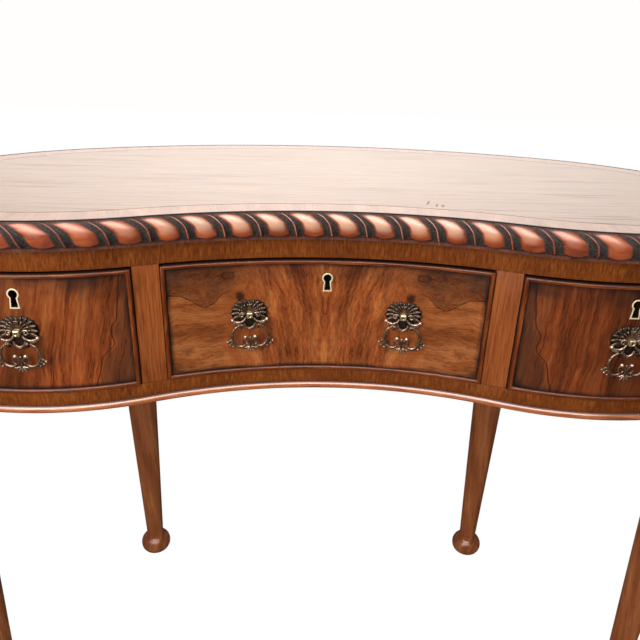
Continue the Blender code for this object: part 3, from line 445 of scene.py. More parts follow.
def rail_shade(offset, height):
    """Darker behind the face, so that the rail's arrises and inside read as unpolished and lie in painted shade."""
    return 0.55 if offset < -0.0002 else 0.0


def bead_shade(offset, height):
    """Darker toward the joints above and below the round: dark wax with a painted shadow in the quirk above, painted
    shade on the underside below.
    """
    return ease(abs(height - BEAD_MIDDLE), 0.0026, 0.0040)


def make_carcass():
    """The rails with the lock mortises, the uprights beside the drawers, and the bent walls."""
    end, joint = s_at_x(OUTER_STILE[1], 0.0), s_at_back_x(BACK_JOINT_X, 0.0)
    for name, low, high in RAILS:
        section = slab_section(-RAIL_DEPTH, low, high, 0.0004)
        rail = moulding(name + "_rail", "front_%s_rail" % name, RAIL_WOOD,
                        steps(-end, end, MOULDING_STEP), section, shade=rail_shade)
        for x in (0.0, SIDE_X, -SIDE_X) if name == "top" else ():
            cut_box(rail, face_frame(x, OPENING_TOP), *BOLT_MORTISE)
    section = slab_section(-RAIL_DEPTH, OPENING_BOTTOM + GAP, OPENING_TOP - GAP, 0.0005)
    for side, sign in (("left", -1), ("right", 1)):
        def outer_spot(share, offset):
            first = s_at_x(OUTER_STILE[0], offset)
            return place(sign * (first + (end - first) * share), offset)
        moulding("inner_upright_" + side, "inner_stile_" + side, STILE_WOOD,
                 [sign * x for x in steps(*INNER_STILE, 0.004)][::sign], section, front_spot)
        moulding("outer_upright_" + side, "outer_stile_" + side, OUTER_STILE_WOOD,
                 [i / 8 for i in range(9)][::sign], section, outer_spot)
    section = slab_section(-PANEL_THICKNESS, RAIL_BOTTOM + GAP, CARCASS_TOP - GAP, 0.0003)
    for name, node, first, last, step in (
            ("end_wall_right", "end_panel_right", end + GAP, joint, MOULDING_STEP),
            ("end_wall_left", "end_panel_left", -joint, -end - GAP, MOULDING_STEP),
            ("back_wall", "back_panel", joint + GAP, 2 * HALF_LENGTH - joint - GAP, 0.01)):
        moulding(name, node, PANEL_WOOD, steps(first, last, step), section)


def make_base_bead():
    """The half-round bead under the rails and walls, in four bent lengths."""
    joint = s_at_back_x(BACK_JOINT_X, 0.0)
    section = [(-BEAD_BACK, BEAD_MIDDLE + BEAD_HALF - 0.0001), (-BEAD_BACK, CARCASS_BOTTOM)]
    section += [(BEAD_OUT - BEAD_HALF + BEAD_HALF * x, BEAD_MIDDLE + BEAD_HALF * z) for x, z in arc(-90.0, 90.0, 12)]
    ends = (-LOBE_END, LOBE_END, joint, 2 * HALF_LENGTH - joint, 2 * HALF_LENGTH - LOBE_END)
    for name, first, last in zip(("front", "right", "back", "left"), ends, ends[1:]):
        moulding("base_moulding_" + name, "base_bead_" + name, BEAD_WOOD,
                 steps(first, last - GAP, MOULDING_STEP), section, shade=bead_shade, sharp=60)


def cut_box(thing, seat, low, high):
    """Cut a block, given in a frame of its own, out of a piece."""
    form = Form(seat)
    corners = ((low[0], low[1]), (high[0], low[1]), (high[0], high[1]), (low[0], high[1]))
    form.grid([[(*corner, z) for corner in corners] for z in (low[2], high[2])], [[(0.0, 0.0)] * 5] * 2)
    cutter = bpy.data.objects.new("cutter", form.mesh("cutter", 30))
    bpy.context.scene.collection.objects.link(cutter)
    step = thing.modifiers.new("cut", "BOOLEAN")
    step.object = cutter
    step.solver = "EXACT"
    depsgraph = bpy.context.evaluated_depsgraph_get()
    cut = bpy.data.meshes.new_from_object(thing.evaluated_get(depsgraph))
    thing.modifiers.clear()
    thing.data = cut
    cut.set_sharp_from_angle(angle=math.radians(32))
    bpy.data.objects.remove(cutter)


# Legs

LEG_POST = 0.036
LEG_TURNS = 56
LEG_TOP = CARCASS_BOTTOM - GAP
LEG_RADIUS = 0.0305
ANKLE = 0.040


def leg_profile():
    """Radii and heights of the turned leg, top first: a taper with a soft swell, a collar, a pad foot."""
    points = [(0.0300, LEG_TOP), (LEG_RADIUS, LEG_TOP - 0.0006)]
    for i in range(1, 25):
        share = i / 24
        radius = LEG_RADIUS - 0.0155 * share + 0.0004 * math.sin(math.pi * share)
        points.append((radius, LEG_TOP - (LEG_TOP - ANKLE) * share))
    points += [(0.0151, 0.0385), (0.0158, 0.0362), (0.0172, 0.0340), (0.0172, 0.0325), (0.0185, 0.0310)]
    points += [(0.0170 + 0.0100 * x, 0.0148 + 0.0150 * z) for x, z in arc(62.0, -80.0, 12)]
    return points + [(0.0178, 0.0004), (0.0172, 0.0)]


def make_legs():
    """Turned legs whose square posts stand just inside the walls."""
    front = LOBE_END + (math.radians(60.0) - ARCS[2][3]) * CORNER_RADIUS
    back = s_at_back_x(0.308, -PANEL_THICKNESS - LEG_POST / 2)
    half = LEG_POST / 2
    for side, sign in (("right", 1), ("left", -1)):
        for row, s in (("front", front), ("back", back)):
            name = "leg_%s_%s" % (row, side)
            radius = abs(arc_at(s)[2]) - PANEL_THICKNESS - GAP
            inward = PANEL_THICKNESS + GAP + radius - (math.sqrt(radius ** 2 - half ** 2) - half)
            form = Form(standing_at(sign * s, -inward, 0.0))
            rings, uvs = [], []
            for wide, height in leg_profile():
                rings.append([(wide * x, wide * y, height) for x, y in circle(LEG_TURNS)])
                uvs.append([(wide * 2 * math.pi * k / LEG_TURNS, height) for k in range(LEG_TURNS + 1)])
            form.grid(rings, uvs)
            form.box((-half, -half, CARCASS_BOTTOM - 0.002), (half, half, CARCASS_TOP - 0.030), 0.0004)
            form.piece("turned_" + name, "carcass", [name], LEG_WOOD, sharp=40)


# Drawers

KEY_RISE = 0.6858
KEY_HEAD, KEY_NECK, KEY_FOOT, KEY_HEIGHT = 0.0058, 0.0039, 0.0050, 0.0211
FRONT_LOW = OPENING_BOTTOM + GAP
FRONT_HIGH = OPENING_TOP - 0.0024
FRONT_THICKNESS = 0.020
SIDE_PLAY = 0.001
BEAD_WALL = 0.0046
REBATE = 0.00705


def keyhole(grow):
    """A keyhole about its head centre: a round head over a foot that spreads downward."""
    radius, foot, bottom = KEY_HEAD + grow, KEY_FOOT + grow, KEY_HEAD - KEY_HEIGHT - grow
    sweep = 180.0 - math.degrees(math.asin((KEY_NECK + grow) / radius))
    head = [(radius * x, radius * z) for x, z in arc(90.0 - sweep, 90.0 + sweep, 36)]
    return [(foot, bottom)] + head + [(-foot, bottom)]


def inside(point, outline):
    """Whether a point is inside a closed outline."""
    odd = False
    for (ax, ay), (bx, by) in zip(outline, outline[1:] + outline[:1]):
        if (ay > point[1]) != (by > point[1]) and point[0] < (bx - ax) * (point[1] - ay) / (by - ay) + ax:
            odd = not odd
    return odd


def front_plate(form, edges, outer, inner, hole_x, step, shade=None):
    """A bent plate with a keyhole, its face cut into small triangles between its edges."""
    left, right, low, high = edges
    along, up = steps(left, right, step), steps(low, high, step)
    hole = [(hole_x + x, KEY_RISE + z) for x, z in keyhole(GAP)]
    near = [(hole_x + x, KEY_RISE + z) for x, z in keyhole(0.002)]
    rim = [(x, low) for x in along[:-1]] + [(right, z) for z in up[:-1]]
    rim += [(x, high) for x in along[:0:-1]] + [(left, z) for z in up[:0:-1]]
    lines = [(i, (i + 1) % len(hole)) for i in range(len(hole))]
    lines += [(len(hole) + i, len(hole) + (i + 1) % len(rim)) for i in range(len(rim))]
    points = hole + rim + [(x, z) for x in along[1:-1] for z in up[1:-1] if not inside((x, z), near)]
    flat, _, faces, _, _, _ = geometry.delaunay_2d_cdt([Vector(p) for p in points], lines, [], 1, 1e-7)
    flat = [tuple(p) for p in flat]
    kept = [face for face in faces if not inside([sum(flat[i][k] for i in face) / 3 for k in (0, 1)], hole)]
    # Faces behind the veneer take a shade of 0.6: painted shade.
    for offset, flip in ((outer, 1), (inner, -1)):
        base = len(form.verts)
        for x, z in flat:
            form.point((x, face_y(x, offset), z), shade(x, z) if shade and flip > 0 else 0.6)
        for face in kept:
            form.face([base + i for i in face][::flip], [flat[i] for i in face][::flip])
    # The walls of the keyhole and of the plate's edges take 0.9: painted shade inside the hole and the gaps.
    for loop in (hole, rim):
        form.grid([[(x, face_y(x, offset), z) for x, z in loop] for offset in (outer, inner)],
                  [[(x + offset, z) for x, z in loop + loop[:1]] for offset in (outer, inner)], 0.9, ends="open")


def make_drawer(name, low_x, high_x, lock_x, finish):
    """The veneered front of a drawer, rebated for its cock bead and cut for its lock."""
    left, right = low_x + SIDE_PLAY, high_x - SIDE_PLAY
    wall = BEAD_WALL + GAP
    inner = (left + wall, right - wall, FRONT_LOW + wall, FRONT_HIGH - wall)
    # Painted shade under the top rail, deeper on the side fronts.
    lintel_tone = 0.45 if finish == CENTRE_VENEER else 0.75

    def shade(x, z):
        """Dark wax and painted shade in the corners and along the edges, and painted shade under the top rail."""
        aside, low, high = min(x - inner[0], inner[1] - x), z - inner[2], inner[3] - z
        corner = 0.9 * (1.0 - ease(math.hypot(aside, 1.3 * high), 0.0, 0.044))
        foot = 1.0 - ease(math.hypot(aside, low), 0.002, 0.015)
        rim = 1.0 - ease(min(aside, low, high), 0.0006, 0.0046)
        return max(rim, corner, foot, lintel_tone * (1.0 - ease(high, 0.004, 0.030)))
    form = Form()
    front_plate(form, inner, 0.0, -REBATE, lock_x, 0.0045, shade)
    front_plate(form, (left, right, FRONT_LOW, FRONT_HIGH), -REBATE, -FRONT_THICKNESS, lock_x, 0.012)
    front = form.piece(name + "_face", name, [name + "_front"], finish)
    cut_box(front, face_frame(lock_x, FRONT_HIGH), *LOCK_BED)
    make_cock_bead(name, left, right)
    make_escutcheon(name, lock_x)


def make_cock_bead(name, left, right):
    """A half-round strip let in round the drawer front, mitred at its corners."""
    section = [(BEAD_WALL, -0.0067), (0.0, -0.0067), (0.0, 0.0004)]
    half = BEAD_WALL / 2
    section += [(half + half * x, 0.0007 + 0.0023 * y) for x, y in arc(180.0, 0.0, 10)] + [(BEAD_WALL, 0.0004)]
    # Each spot of the loop: x, z, and the way inward from it along x and along z
    corners = ((left, FRONT_LOW, 1, 1), (right, FRONT_LOW, -1, 1),
               (right, FRONT_HIGH, -1, -1), (left, FRONT_HIGH, 1, -1))
    loop = []
    for near, far in zip(corners, corners[1:] + corners[:1]):
        loop.append(near)
        if near[1] == far[1]:
            loop += [(x, near[1], 0, near[3]) for x in steps(near[0], far[0], 0.008)[1:-1]]
        else:
            loop += [(near[0], z, near[2], 0) for z in steps(near[1], far[1], 0.012)[1:-1]]
    rings, uvs = [], []
    run = 0.0
    for i, (x, z, way_x, way_z) in enumerate(loop):
        run += math.dist((x, z), loop[i - 1][:2]) if i else 0.0
        rings.append([(x + way_x * inward, face_y(x + way_x * inward, out), z + way_z * inward)
                      for inward, out in section])
        uvs.append([(run, inward + out) for inward, out in section + section[:1]])
    uvs.append([(run + 0.01, v) for _, v in uvs[0]])
    form = Form()
    # Painted shade: the bead darkens from its crest down both sides of the round and in the quirks.
    form.grid(rings, uvs, [[1.0 - ease(out, 0.0008, 0.0029) for _, out in section]] * len(rings), ends="joined")
    form.piece(name + "_bead", name, [name + "_cock_bead"], COCK_WOOD, sharp=50)


# Growth past the keyhole, depth behind the face and shade of the brass thread round it; its inner wall is painted dark
# as the shade inside the keyhole
THREAD_LEVELS = ((0.0, 0.0037, 0.8), (0.0, -0.0001, 0.1), (-0.0003, -0.0003, 0.0), (-0.0013, -0.0003, 0.0),
                 (-0.0016, -0.0001, 0.8), (-0.0016, 0.0037, 1.0))


def make_escutcheon(name, lock_x):
    """A thread of brass let in round the keyhole, its face slightly rounded."""
    form = Form(face_frame(lock_x, KEY_RISE))
    rings = [[(x, depth, z) for x, z in keyhole(grow)] for grow, depth, _ in THREAD_LEVELS]
    run = [(i * 0.003, 0.0) for i in range(len(rings[0]) + 1)]
    form.grid(rings, [run] * (len(rings) + 1), [tone for _, _, tone in THREAD_LEVELS], ends="joined")
    form.piece(name + "_keyhole_thread", name, [name + "_escutcheon"], THREAD_BRASS, sharp=40)


# Pulls, drawn in millimetres in a frame with x along the face, y into the desk and z up

PIVOT_OUT, PIVOT_DROP = 6.6, 12.1


def blade(form, root, way, length, section):
    """A leaf from its root: rings of (across, depth, shade) that section gives along it."""
    rings, uvs, shades = [], [], []
    for i in range(9):
        share = i / 8
        ring = section(share)
        middle_x, middle_z = root[0] + way[0] * length * share, root[1] + way[1] * length * share
        rings.append([(middle_x + way[1] * across, depth, middle_z - way[0] * across) for across, depth, _ in ring])
        uvs.append([(length * share, float(k)) for k in range(len(ring) + 1)])
        shades.append([tone for _, _, tone in ring])
    form.grid(rings, uvs, shades)


def leaf(form, angle, reach, length, width, rise, shade, curl=0.0):
    """A cast acanthus leaf of the fan: a hollow blade with a raised rib and a lifted tip."""
    def section(share):
        breadth = width / 2 * math.sin(math.pi * (0.16 + 0.80 * share)) ** 0.7 * (1.0 if share < 0.99 else 0.3)
        ring = []
        for k in range(-4, 5):
            aside = k / 4
            ridge = 0.55 * (1 - abs(aside)) ** 2 + 0.30 * abs(math.sin(math.pi * aside)) + 0.06
            lift = rise * (0.45 + 0.55 * ridge) * (0.75 + 0.5 * share) * (1.0 if share < 0.95 else 0.6)
            ring.append((aside * breadth + curl * share * share, -lift, max(shade, 0.9 - ridge)))
        return ring + [(ring[-1][0], 0.0, 1.0), (ring[0][0], 0.0, 1.0)]
    way = (math.sin(angle), math.cos(angle))
    blade(form, (way[0] * reach, way[1] * reach), way, length, section)


def drop_leaf(form, root, way, length, width, shade):
    """A double-sided leaf lobe with a raised rib, centred on the plane of the drop."""
    def section(share):
        breadth = width / 2 * max(0.12, math.sin(math.pi * (0.12 + 0.84 * share)) ** 0.6)
        thick = 1.3 * (1.0 - 0.35 * share)
        return [(breadth * x, -thick * (0.55 + 0.45 * abs(y)) * y, shade + 0.6 * x * x) for x, y in circle(12)]
    blade(form, root, way, length, section)


def smooth_path(sign, count, *spots):
    """A smooth path through a few spots, mirrored where sign is -1."""
    spots = [Vector((sign * x, y, z)) for x, y, z in spots]
    padded = [2 * spots[0] - spots[1]] + spots + [2 * spots[-1] - spots[-2]]
    path = []
    for i in range(count + 1):
        at = min(i / count * (len(spots) - 1), len(spots) - 1 - 1e-6)
        k, f = int(at), at - int(at)
        a, b, c, d = padded[k:k + 4]
        path.append(b + 0.5 * ((c - a) * f + (2 * a - 5 * b + 4 * c - d) * f ** 2 + (3 * b - a - 3 * c + d) * f ** 3))
    return path


def make_plate(form):
    """The cast plate: a fan of leaves over a square nut, beaded wings and a pointed ring."""
    bed = []
    for x, z in [(y, x) for x, y in circle(72)]:
        turn = math.degrees(math.atan2(abs(x), z))
        reach = 14.6 + 4.6 * math.sin(math.radians(min(turn, 90.0)))
        if turn > 104:
            reach = 14.8 if turn < 134 else 11.8 + 3.6 * ease(turn, 146, 160)
        bed.append((reach * x, reach * z))
    dome = ((1.0, 0.0), (1.0, 0.8), (0.93, 1.6), (0.30, 3.0))
    form.grid([[(x * share, -depth, z * share) for x, z in bed] for share, depth in dome],
              shades=[[0.80 if z > -4.0 else 0.50 for _, z in bed]] * len(dome))
    for i in range(-6, 7):
        angle = math.radians(i * 17.5)
        leaf(form, angle, 4.0, 11.2 + 5.4 * abs(math.sin(angle)), 5.6, 3.6, 0.38, curl=i * 0.1)
    for i in range(-5, 6):
        angle = math.radians(i * 17.5 + (8.7 if i < 0 else -8.7 if i > 0 else 0.0))
        leaf(form, angle, 3.6, 7.6, 3.8, 5.2, 0.30)
        form.ball((math.sin(angle) * 12.2, -4.2, math.cos(angle) * 11.8), (0.8, 0.9, 0.8), 0.12, 10)
    for sign in (-1, 1):
        for spot in smooth_path(sign, 4, (9.2, -3.4, -10.8), (12.6, -3.4, -11.2), (16.4, -3.2, -10.0)):
            form.ball(spot, (1.2, 1.4, 1.4), 0.12, 12)
        form.ball((sign * 18.6, -3.8, -6.6), (2.0, 2.4, 2.3), 0.0, 14)
        wing = smooth_path(sign, 18, (4.2, -4.4, -3.4), (6.2, -4.6, -6.6), (10.0, -4.4, -8.8), (14.4, -4.0, -8.8),
                           (18.0, -3.8, -7.2))
        form.tube(wing, (1.0, 1.3, 1.0), 10, 0.14)
        spiral = []
        for i in range(23):
            reach, angle = 3.2 * (1.0 - 0.78 * i / 22), math.radians(90 + sign * (60 - 360 * 1.15 * i / 22))
            spiral.append((sign * 8.4 + reach * math.cos(angle), -5.6, -0.2 + reach * math.sin(angle)))
        form.tube(spiral, (0.9, 0.9, 0.9), 10, 0.14)
    ring = [(6.0 * x, -3.4, -9.8 - 6.8 * z ** 1.15) for x, z in arc(3.6, 176.4, 24)]
    form.tube(ring, (1.4, 1.4, 1.4), 12, 0.16)
    form.ball((0.0, -3.6, -17.5), (1.4, 1.4, 1.4), 0.12, 12)
    for x in (-9.2, 9.2):
        ear = [[(x + aside, radius * y - PIVOT_OUT, radius * z - PIVOT_DROP) for y, z in circle(24)]
               for aside, radius in ((-1.0, 1.6), (-1.0, 2.96), (1.0, 2.96), (1.0, 1.6))]
        form.grid(ear, shades=0.5, ends="joined")
        form.box((x - 0.9, 1.8 - PIVOT_OUT, -PIVOT_DROP - 1.6), (x + 0.9, 0.0, 3.0 - PIVOT_DROP), 0.4, 0.7)


def make_nut(form):
    """The bright square nut over a collar, with the small dimple of its bolt end."""
    form.grid([[(4.4 * x, -depth, 4.4 * z) for x, z in circle(32)] for depth in (1.0, 4.6)], shades=0.8)
    round_ring = circle(32, 0.5)
    square_ring = []
    for x, z in round_ring:
        reach = min(1.0 / max(abs(x), abs(z)), 1.30)
        square_ring.append((reach * x, reach * z))
    levels = [(square_ring, size, depth, 0.3) for size, depth in
              ((2.9, 3.6), (3.2, 4.0), (3.3, 4.6), (3.3, 7.9), (3.1, 8.4), (2.7, 8.7))]
    levels += [(round_ring, 1.7, 8.9, 0.2), (round_ring, 1.3, 8.5, 0.9), (round_ring, 0.6, 8.2, 1.0)]
    form.grid([[(size * x, -depth, size * z) for x, z in ring] for ring, size, depth, _ in levels],
              shades=[tone for *_, tone in levels])


# Bars of the drop: points on the bar, its first, middle and last radius, its sides and its shade
DROP_BARS = (
    (36, (1.1, 1.7, 1.4), 12, 0.22, ((11.4, 0.2), (16.4, -3.2), (19.2, -9.6), (19.2, -15.8), (16.8, -21.4),
                                     (12.2, -24.6), (7.8, -24.4), (5.2, -22.2))),
    (32, (1.1, 1.0, 0.8), 12, 0.26, ((5.6, -22.6), (7.4, -20.4), (7.8, -17.6), (6.6, -15.0), (4.4, -14.8),
                                     (2.2, -17.0), (2.0, -20.0), (3.6, -21.4))),
    (16, (1.0, 1.2, 0.8), 10, 0.20, ((8.4, -24.4), (7.0, -26.2), (4.4, -26.2), (2.2, -24.6))))
# Leaf tips on its outside: x and z of the root, length, width and how steeply they hang
DROP_TIPS = ((19.6, -15.8, 6.0, 3.2, 0.62), (18.8, -19.0, 4.4, 3.0, 1.0), (17.0, -21.8, 3.0, 2.6, 1.5))
# Rays of its palmette: angle from straight down and length
DROP_RAYS = ((-66, 5.8), (-34, 6.0), (0, 5.8), (34, 6.0), (66, 5.8))


def make_drop(form):
    """The openwork drop, about its pivot line: scrolled arms, leaf tips, volutes and a palmette."""
    for sign in (-1, 1):
        form.tube([(sign * x, 0.0, 0.0) for x in (7.0, 10.6, 11.8)], (1.0, 1.0, 1.0), 14, 0.4)
        form.ball((sign * 12.2, 0.0, 0.0), (1.3, 1.5, 1.5), 0.2, 12)
        for count, radii, sides, shade, spots in DROP_BARS:
            form.tube(smooth_path(sign, count, *[(x, 0.0, z) for x, z in spots]), radii, sides, shade)
        form.ball((sign * 5.2, -0.4, -13.2), (2.2, 2.3, 2.0), 0.0, 16)
        for x, z, length, width, lean in DROP_TIPS:
            way = Vector((sign, -lean)).normalized()
            drop_leaf(form, (sign * x, z), way, length, width, 0.15)
            form.ball((sign * x + way.x * length, 0.0, z + way.y * length), (width * 0.46, 1.3, width * 0.46), 0.10, 12)
    form.ball((0.0, -0.2, -14.6), (1.1, 1.3, 1.8), 0.15, 14)
    form.tube([(0.0, 0.0, z) for z in (-15.0, -20.0, -26.2)], (0.8, 1.2, 1.5), 10, 0.3)
    for angle, length in DROP_RAYS:
        way = (math.sin(math.radians(angle)), -math.cos(math.radians(angle)))
        drop_leaf(form, (way[0] * 1.2, way[1] * 1.2 - 24.2), way, length, 2.3, -0.12)


def make_pull(name, x, drawer):
    """A pull of three pieces, seated on the bent front. In the hollow its flat back stands off."""
    hollow = 0.0222 ** 2 / (2 * HOLLOW_RADIUS) if abs(x) < HOLLOW_HALF_WIDTH else 0.0
    seat = face_frame(x, DESK_HEIGHT - PULL_DROP, GAP + hollow)
    pivot = seat @ Matrix.Translation((0.0, -0.001 * PIVOT_OUT, -0.001 * PIVOT_DROP))
    for part, build, at, body, node, finish, sharp in (
            ("_casting", make_plate, seat, drawer, "_plate", BRONZE, 60),
            ("_nut", make_nut, seat, drawer, "_plate", NUT_BRASS, 40),
            ("_handle", make_drop, pivot, name, "_drop", BRONZE, 60)):
        form = Form(at, 0.001)
        build(form)
        form.piece(name + part, body, [name + node], finish, sharp)


# Finishes. Lengths are in millimetres, and patterns are given in cycles a millimetre.
# A walnut pore is about 0.2 mm wide and would not show: pores and streaks are drawn 0.5 to 1 mm wide.

GRAIN_HEIGHT = 0.0002  # relief of the open grain, in metres


def tint(text):
    """A colour from its sRGB hex to linear values."""
    parts = [int(text[i:i + 2], 16) / 255 for i in (0, 2, 4)]
    return tuple(p / 12.92 if p <= 0.04045 else ((p + 0.055) / 1.055) ** 2.4 for p in parts) + (1.0,)


class Finish:
    """The nodes of a material, or of the white room."""

    def __init__(self, owner):
        owner.use_nodes = True
        self.owner, self.tree = owner, owner.node_tree

    def feed(self, node, values):
        """Give inputs of a node, by name or number, a value or a link."""
        for key, value in values.items():
            if isinstance(value, bpy.types.NodeSocket):
                self.tree.links.new(value, node.inputs[key])
            else:
                node.inputs[key].default_value = value

    def add(self, kind, *values, out=0, stops=(), **settings):
        """Add a node and give one of its outputs.

        A second word in kind is the node's operation. The values go to the inputs in order, or by
        key where the only value is a dict. stops are the (place, hex or grey) of a colour ramp."""
        kind, _, operation = kind.partition(" ")
        made = self.tree.nodes.new("ShaderNode" + kind)
        if operation:
            made.operation = operation
        for key, value in settings.items():
            setattr(made, key, value)
        self.feed(made, values[0] if values and isinstance(values[0], dict) else dict(enumerate(values)))
        if stops:
            line = made.color_ramp.elements
            while len(line) < len(stops):
                line.new(1.0)
            for element, (at, colour) in zip(line, stops):
                element.position = at
                element.color = tint(colour) if isinstance(colour, str) else (colour, colour, colour, 1.0)
        return made.outputs[out]

    def surface(self, colour, height, strength, **values):
        """Give the shader its colour, relief and values, and give back the material."""
        values = {key.replace("_", " "): value for key, value in values.items()}
        if height:
            values["Normal"] = self.add("Bump", {"Height": height, "Strength": strength, "Distance": GRAIN_HEIGHT})
        self.feed(self.tree.nodes["Principled BSDF"], {"Base Color": colour, **values})
        return self.owner


def millimetres(finish, own_space=False):
    """The UVs, or places in the piece's own space, from metres to millimetres."""
    spot = finish.add("TexCoord", out=3) if own_space else finish.add("UVMap", uv_map="grain")
    return finish.add("VectorMath MULTIPLY", spot, (1000.0, 1000.0, 1000.0))


def grain(finish, spot, cycles, shift=(0.0, 0.0, 0.0), detail=4.0, rough=0.55, warp=0.0):
    """Cloudy streaks, from 0 to 1, with their own cycles a millimetre each way."""
    spot = finish.add("Mapping", {"Vector": spot, "Location": shift, "Scale": (*cycles, 1.0)[:3]})
    return finish.add("TexNoise", {"Vector": spot, "Scale": 1.0, "Detail": detail, "Roughness": rough,
                                   "Distortion": warp})


def laid_over(finish, colour, *layers, blend="MIX"):
    """A colour under layers of stain, each with its share and its tone."""
    for share, tone in layers:
        tone = tint(tone) if isinstance(tone, str) else tone
        colour = finish.add("Mix", {0: share, 6: colour, 7: tone}, out=2, data_type="RGBA", blend_type=blend)
    return colour


def reach_from(finish, spot, middle, scale, turn=0.0):
    """Distance of a spot from a point of the veneer, turned and then scaled each way."""
    away = finish.add("VectorMath SUBTRACT", spot, (*middle, 0.0))
    if turn:
        away = finish.add("VectorRotate", {"Vector": away, "Angle": turn}, rotation_type="Z_AXIS")
    away = finish.add("Mapping", {"Vector": away, "Scale": (*scale, 1.0)})
    return finish.add("VectorMath LENGTH", away, out=1)


def veneer(name, dark, middle, light, fine, figure, pores, polish=0.30, swirl=0.4, shift=(0.0, 0.0, 0.0), edge=None,
           edge_share=1.0, highlight_tone=None, coat=0.55, band=0.55, gloss=0.5, lines=0.0, dents=()):
    """Polished walnut: a broad figure, fine streaks and dark pores, each stretched along the grain.

    fine, figure and pores are cycles a millimetre along u and v. A shade value above nothing darkens toward
    the two tones of edge, dark wax and painted shade, and one below nothing pales the colour as a painted
    highlight. lines is the share of the dark hairlines."""
    wood = Finish(bpy.data.materials.new(name))
    add = wood.add
    spot = millimetres(wood)
    streak = grain(wood, spot, fine, shift, 5.0, 0.6, 0.1)
    blend = add("Math MULTIPLY_ADD", grain(wood, spot, figure, shift, 3.0, 0.5, swirl), band,
                add("Math MULTIPLY", streak, 1.0 - band))
    colour = add("ValToRGB", blend, stops=((0.36, dark), (0.50, middle), (0.64, light)))
    fleck = add("MapRange", grain(wood, spot, pores, shift, 2.0, 0.5), 0.60, 0.70, 0.0, 0.45)
    colour = laid_over(wood, colour, (fleck, dark), blend="MULTIPLY")
    rough = add("MapRange", streak, 0.3, 0.7, polish - 0.04, polish + 0.05)
    shade = add("Attribute", attribute_name="shade", out=2) if edge or highlight_tone else 0.0
    # Painted highlight: a shade value below nothing pales the colour.
    if highlight_tone:
        colour = laid_over(wood, colour, (add("MapRange", shade, 0.0, -1.0, 0.0, 0.72), highlight_tone))
    # Dark wax and painted shade: a shade value above nothing darkens the colour and dulls the gloss.
    if edge:
        dull = add("MapRange", shade, 0.0, 1.0, 0.0, edge_share)
        wax_and_shade_tone = grain(wood, spot, (0.45, 0.45), shift, 4.0, 0.7)
        colour = laid_over(wood, colour, (dull, add("ValToRGB", wax_and_shade_tone, stops=((0.40, edge[0]), (0.60, edge[1])))))
        rough = add("Math MULTIPLY_ADD", dull, 0.45, rough)
        coat = add("Math MULTIPLY_ADD", dull, -coat, coat) if coat else 0.0
    if lines:
        hair = grain(wood, spot, (0.0045, 0.20), (9.0, 4.0, 2.0), 3.0, 0.6, 0.25)
        group = grain(wood, spot, (0.006, 0.018), (2.0, 6.0, 3.0), 3.0, 0.6)
        hair = add("Math MULTIPLY", add("MapRange", hair, 0.56, 0.64),
                   add("MapRange", group, 0.42, 0.60, 0.35 * lines, lines))
        colour = laid_over(wood, colour, (hair, dark))
        coat = add("Math MULTIPLY_ADD", hair, -coat, coat)
    for x, y, half_width, half_length in dents:
        dent = reach_from(wood, spot, (x, y), (1.0 / half_width, 1.0 / half_length), DENT_LEAN)
        dent = add("MapRange", dent, 0.6, 1.2, 0.8, 0.0)
        colour = laid_over(wood, colour, (dent, "1a0f0a"))
        coat = add("Math MULTIPLY_ADD", dent, -1.0, coat, use_clamp=True)
    return wood.surface(colour, blend, 0.15, Roughness=rough, IOR=1.50, Coat_Weight=coat,
                        Coat_Roughness=max(0.08, polish - 0.14), Specular_IOR_Level=gloss)


# Three small dents near the front: x, y, half width and half length in millimetres
DENT_LEAN = 0.30
TOP_DENTS = ((108.0, -148.0, 1.0, 10.0), (115.5, -159.0, 1.0, 7.0), (121.7, -161.0, 1.6, 5.0))

# Top field: faded walnut veneer under a satin varnish, with fine dark hairlines left to right
FIELD_WOOD = veneer("top_field_walnut_satin", "5c3d28", "875c3e", "a77e5a", (0.012, 0.50), (0.004, 0.06), (0.035, 1.1),
                    polish=0.34, swirl=0.3, band=0.15, coat=0.55, gloss=0.10, lines=0.75, dents=TOP_DENTS)
# Crossbanded border: paler, pinker walnut with its grain across the edge, black wax in its inner joint, and near black
# at its outer edge as dark wax with a painted shadow in the joint with the carved edge
BORDER_WOOD = veneer("crossbanded_walnut_satin", "7d4c35", "9f684e", "b98467", (0.60, 0.02), (0.05, 0.008), (1.0, 0.05),
                     polish=0.34, swirl=0.4, coat=0.52, gloss=0.10, edge=("080403", "0e0806"))
# Carved edge: red-brown polished walnut, painted pale on the lobes as a highlight, its grooves dull with black wax and
# painted shade
ROPE_WOOD = veneer("carved_walnut_polished", "7c2e0e", "a64616", "c05c24", (0.05, 0.16), (0.02, 0.06), (0.10, 0.5),
                   polish=0.50, edge=("181310", "3c3530"), edge_share=0.98, coat=0.45, gloss=0.30, highlight_tone="e8b896")
# Rails: walnut with the grain upright, across the length of the rail, nearly dull, painted darker behind the face as
# shade
RAIL_WOOD = veneer("rail_walnut_crossgrain", "542606", "753708", "8f4e14", (0.50, 0.08), (0.030, 0.012), (1.3, 0.20),
                   polish=0.36, edge=("34170a", "3f1d0a"), edge_share=0.8, band=0.30, coat=0.08, gloss=0.2)
# Uprights between and outside the drawers: straight upright grain, nearly dull, a little paler
STILE_LOOK = ("70370e", "8e481c", "9e5826", (0.55, 0.02), (0.06, 0.008), (0.62, 0.035), 0.44)
STILE_WOOD = veneer("stile_walnut_upright", *STILE_LOOK, coat=0.02, gloss=0.12, band=0.25)
OUTER_STILE_WOOD = veneer("outer_stile_walnut_upright", *STILE_LOOK, coat=0.02, gloss=0.12, band=0.25,
                          shift=(40.0, 9.0, 3.0))
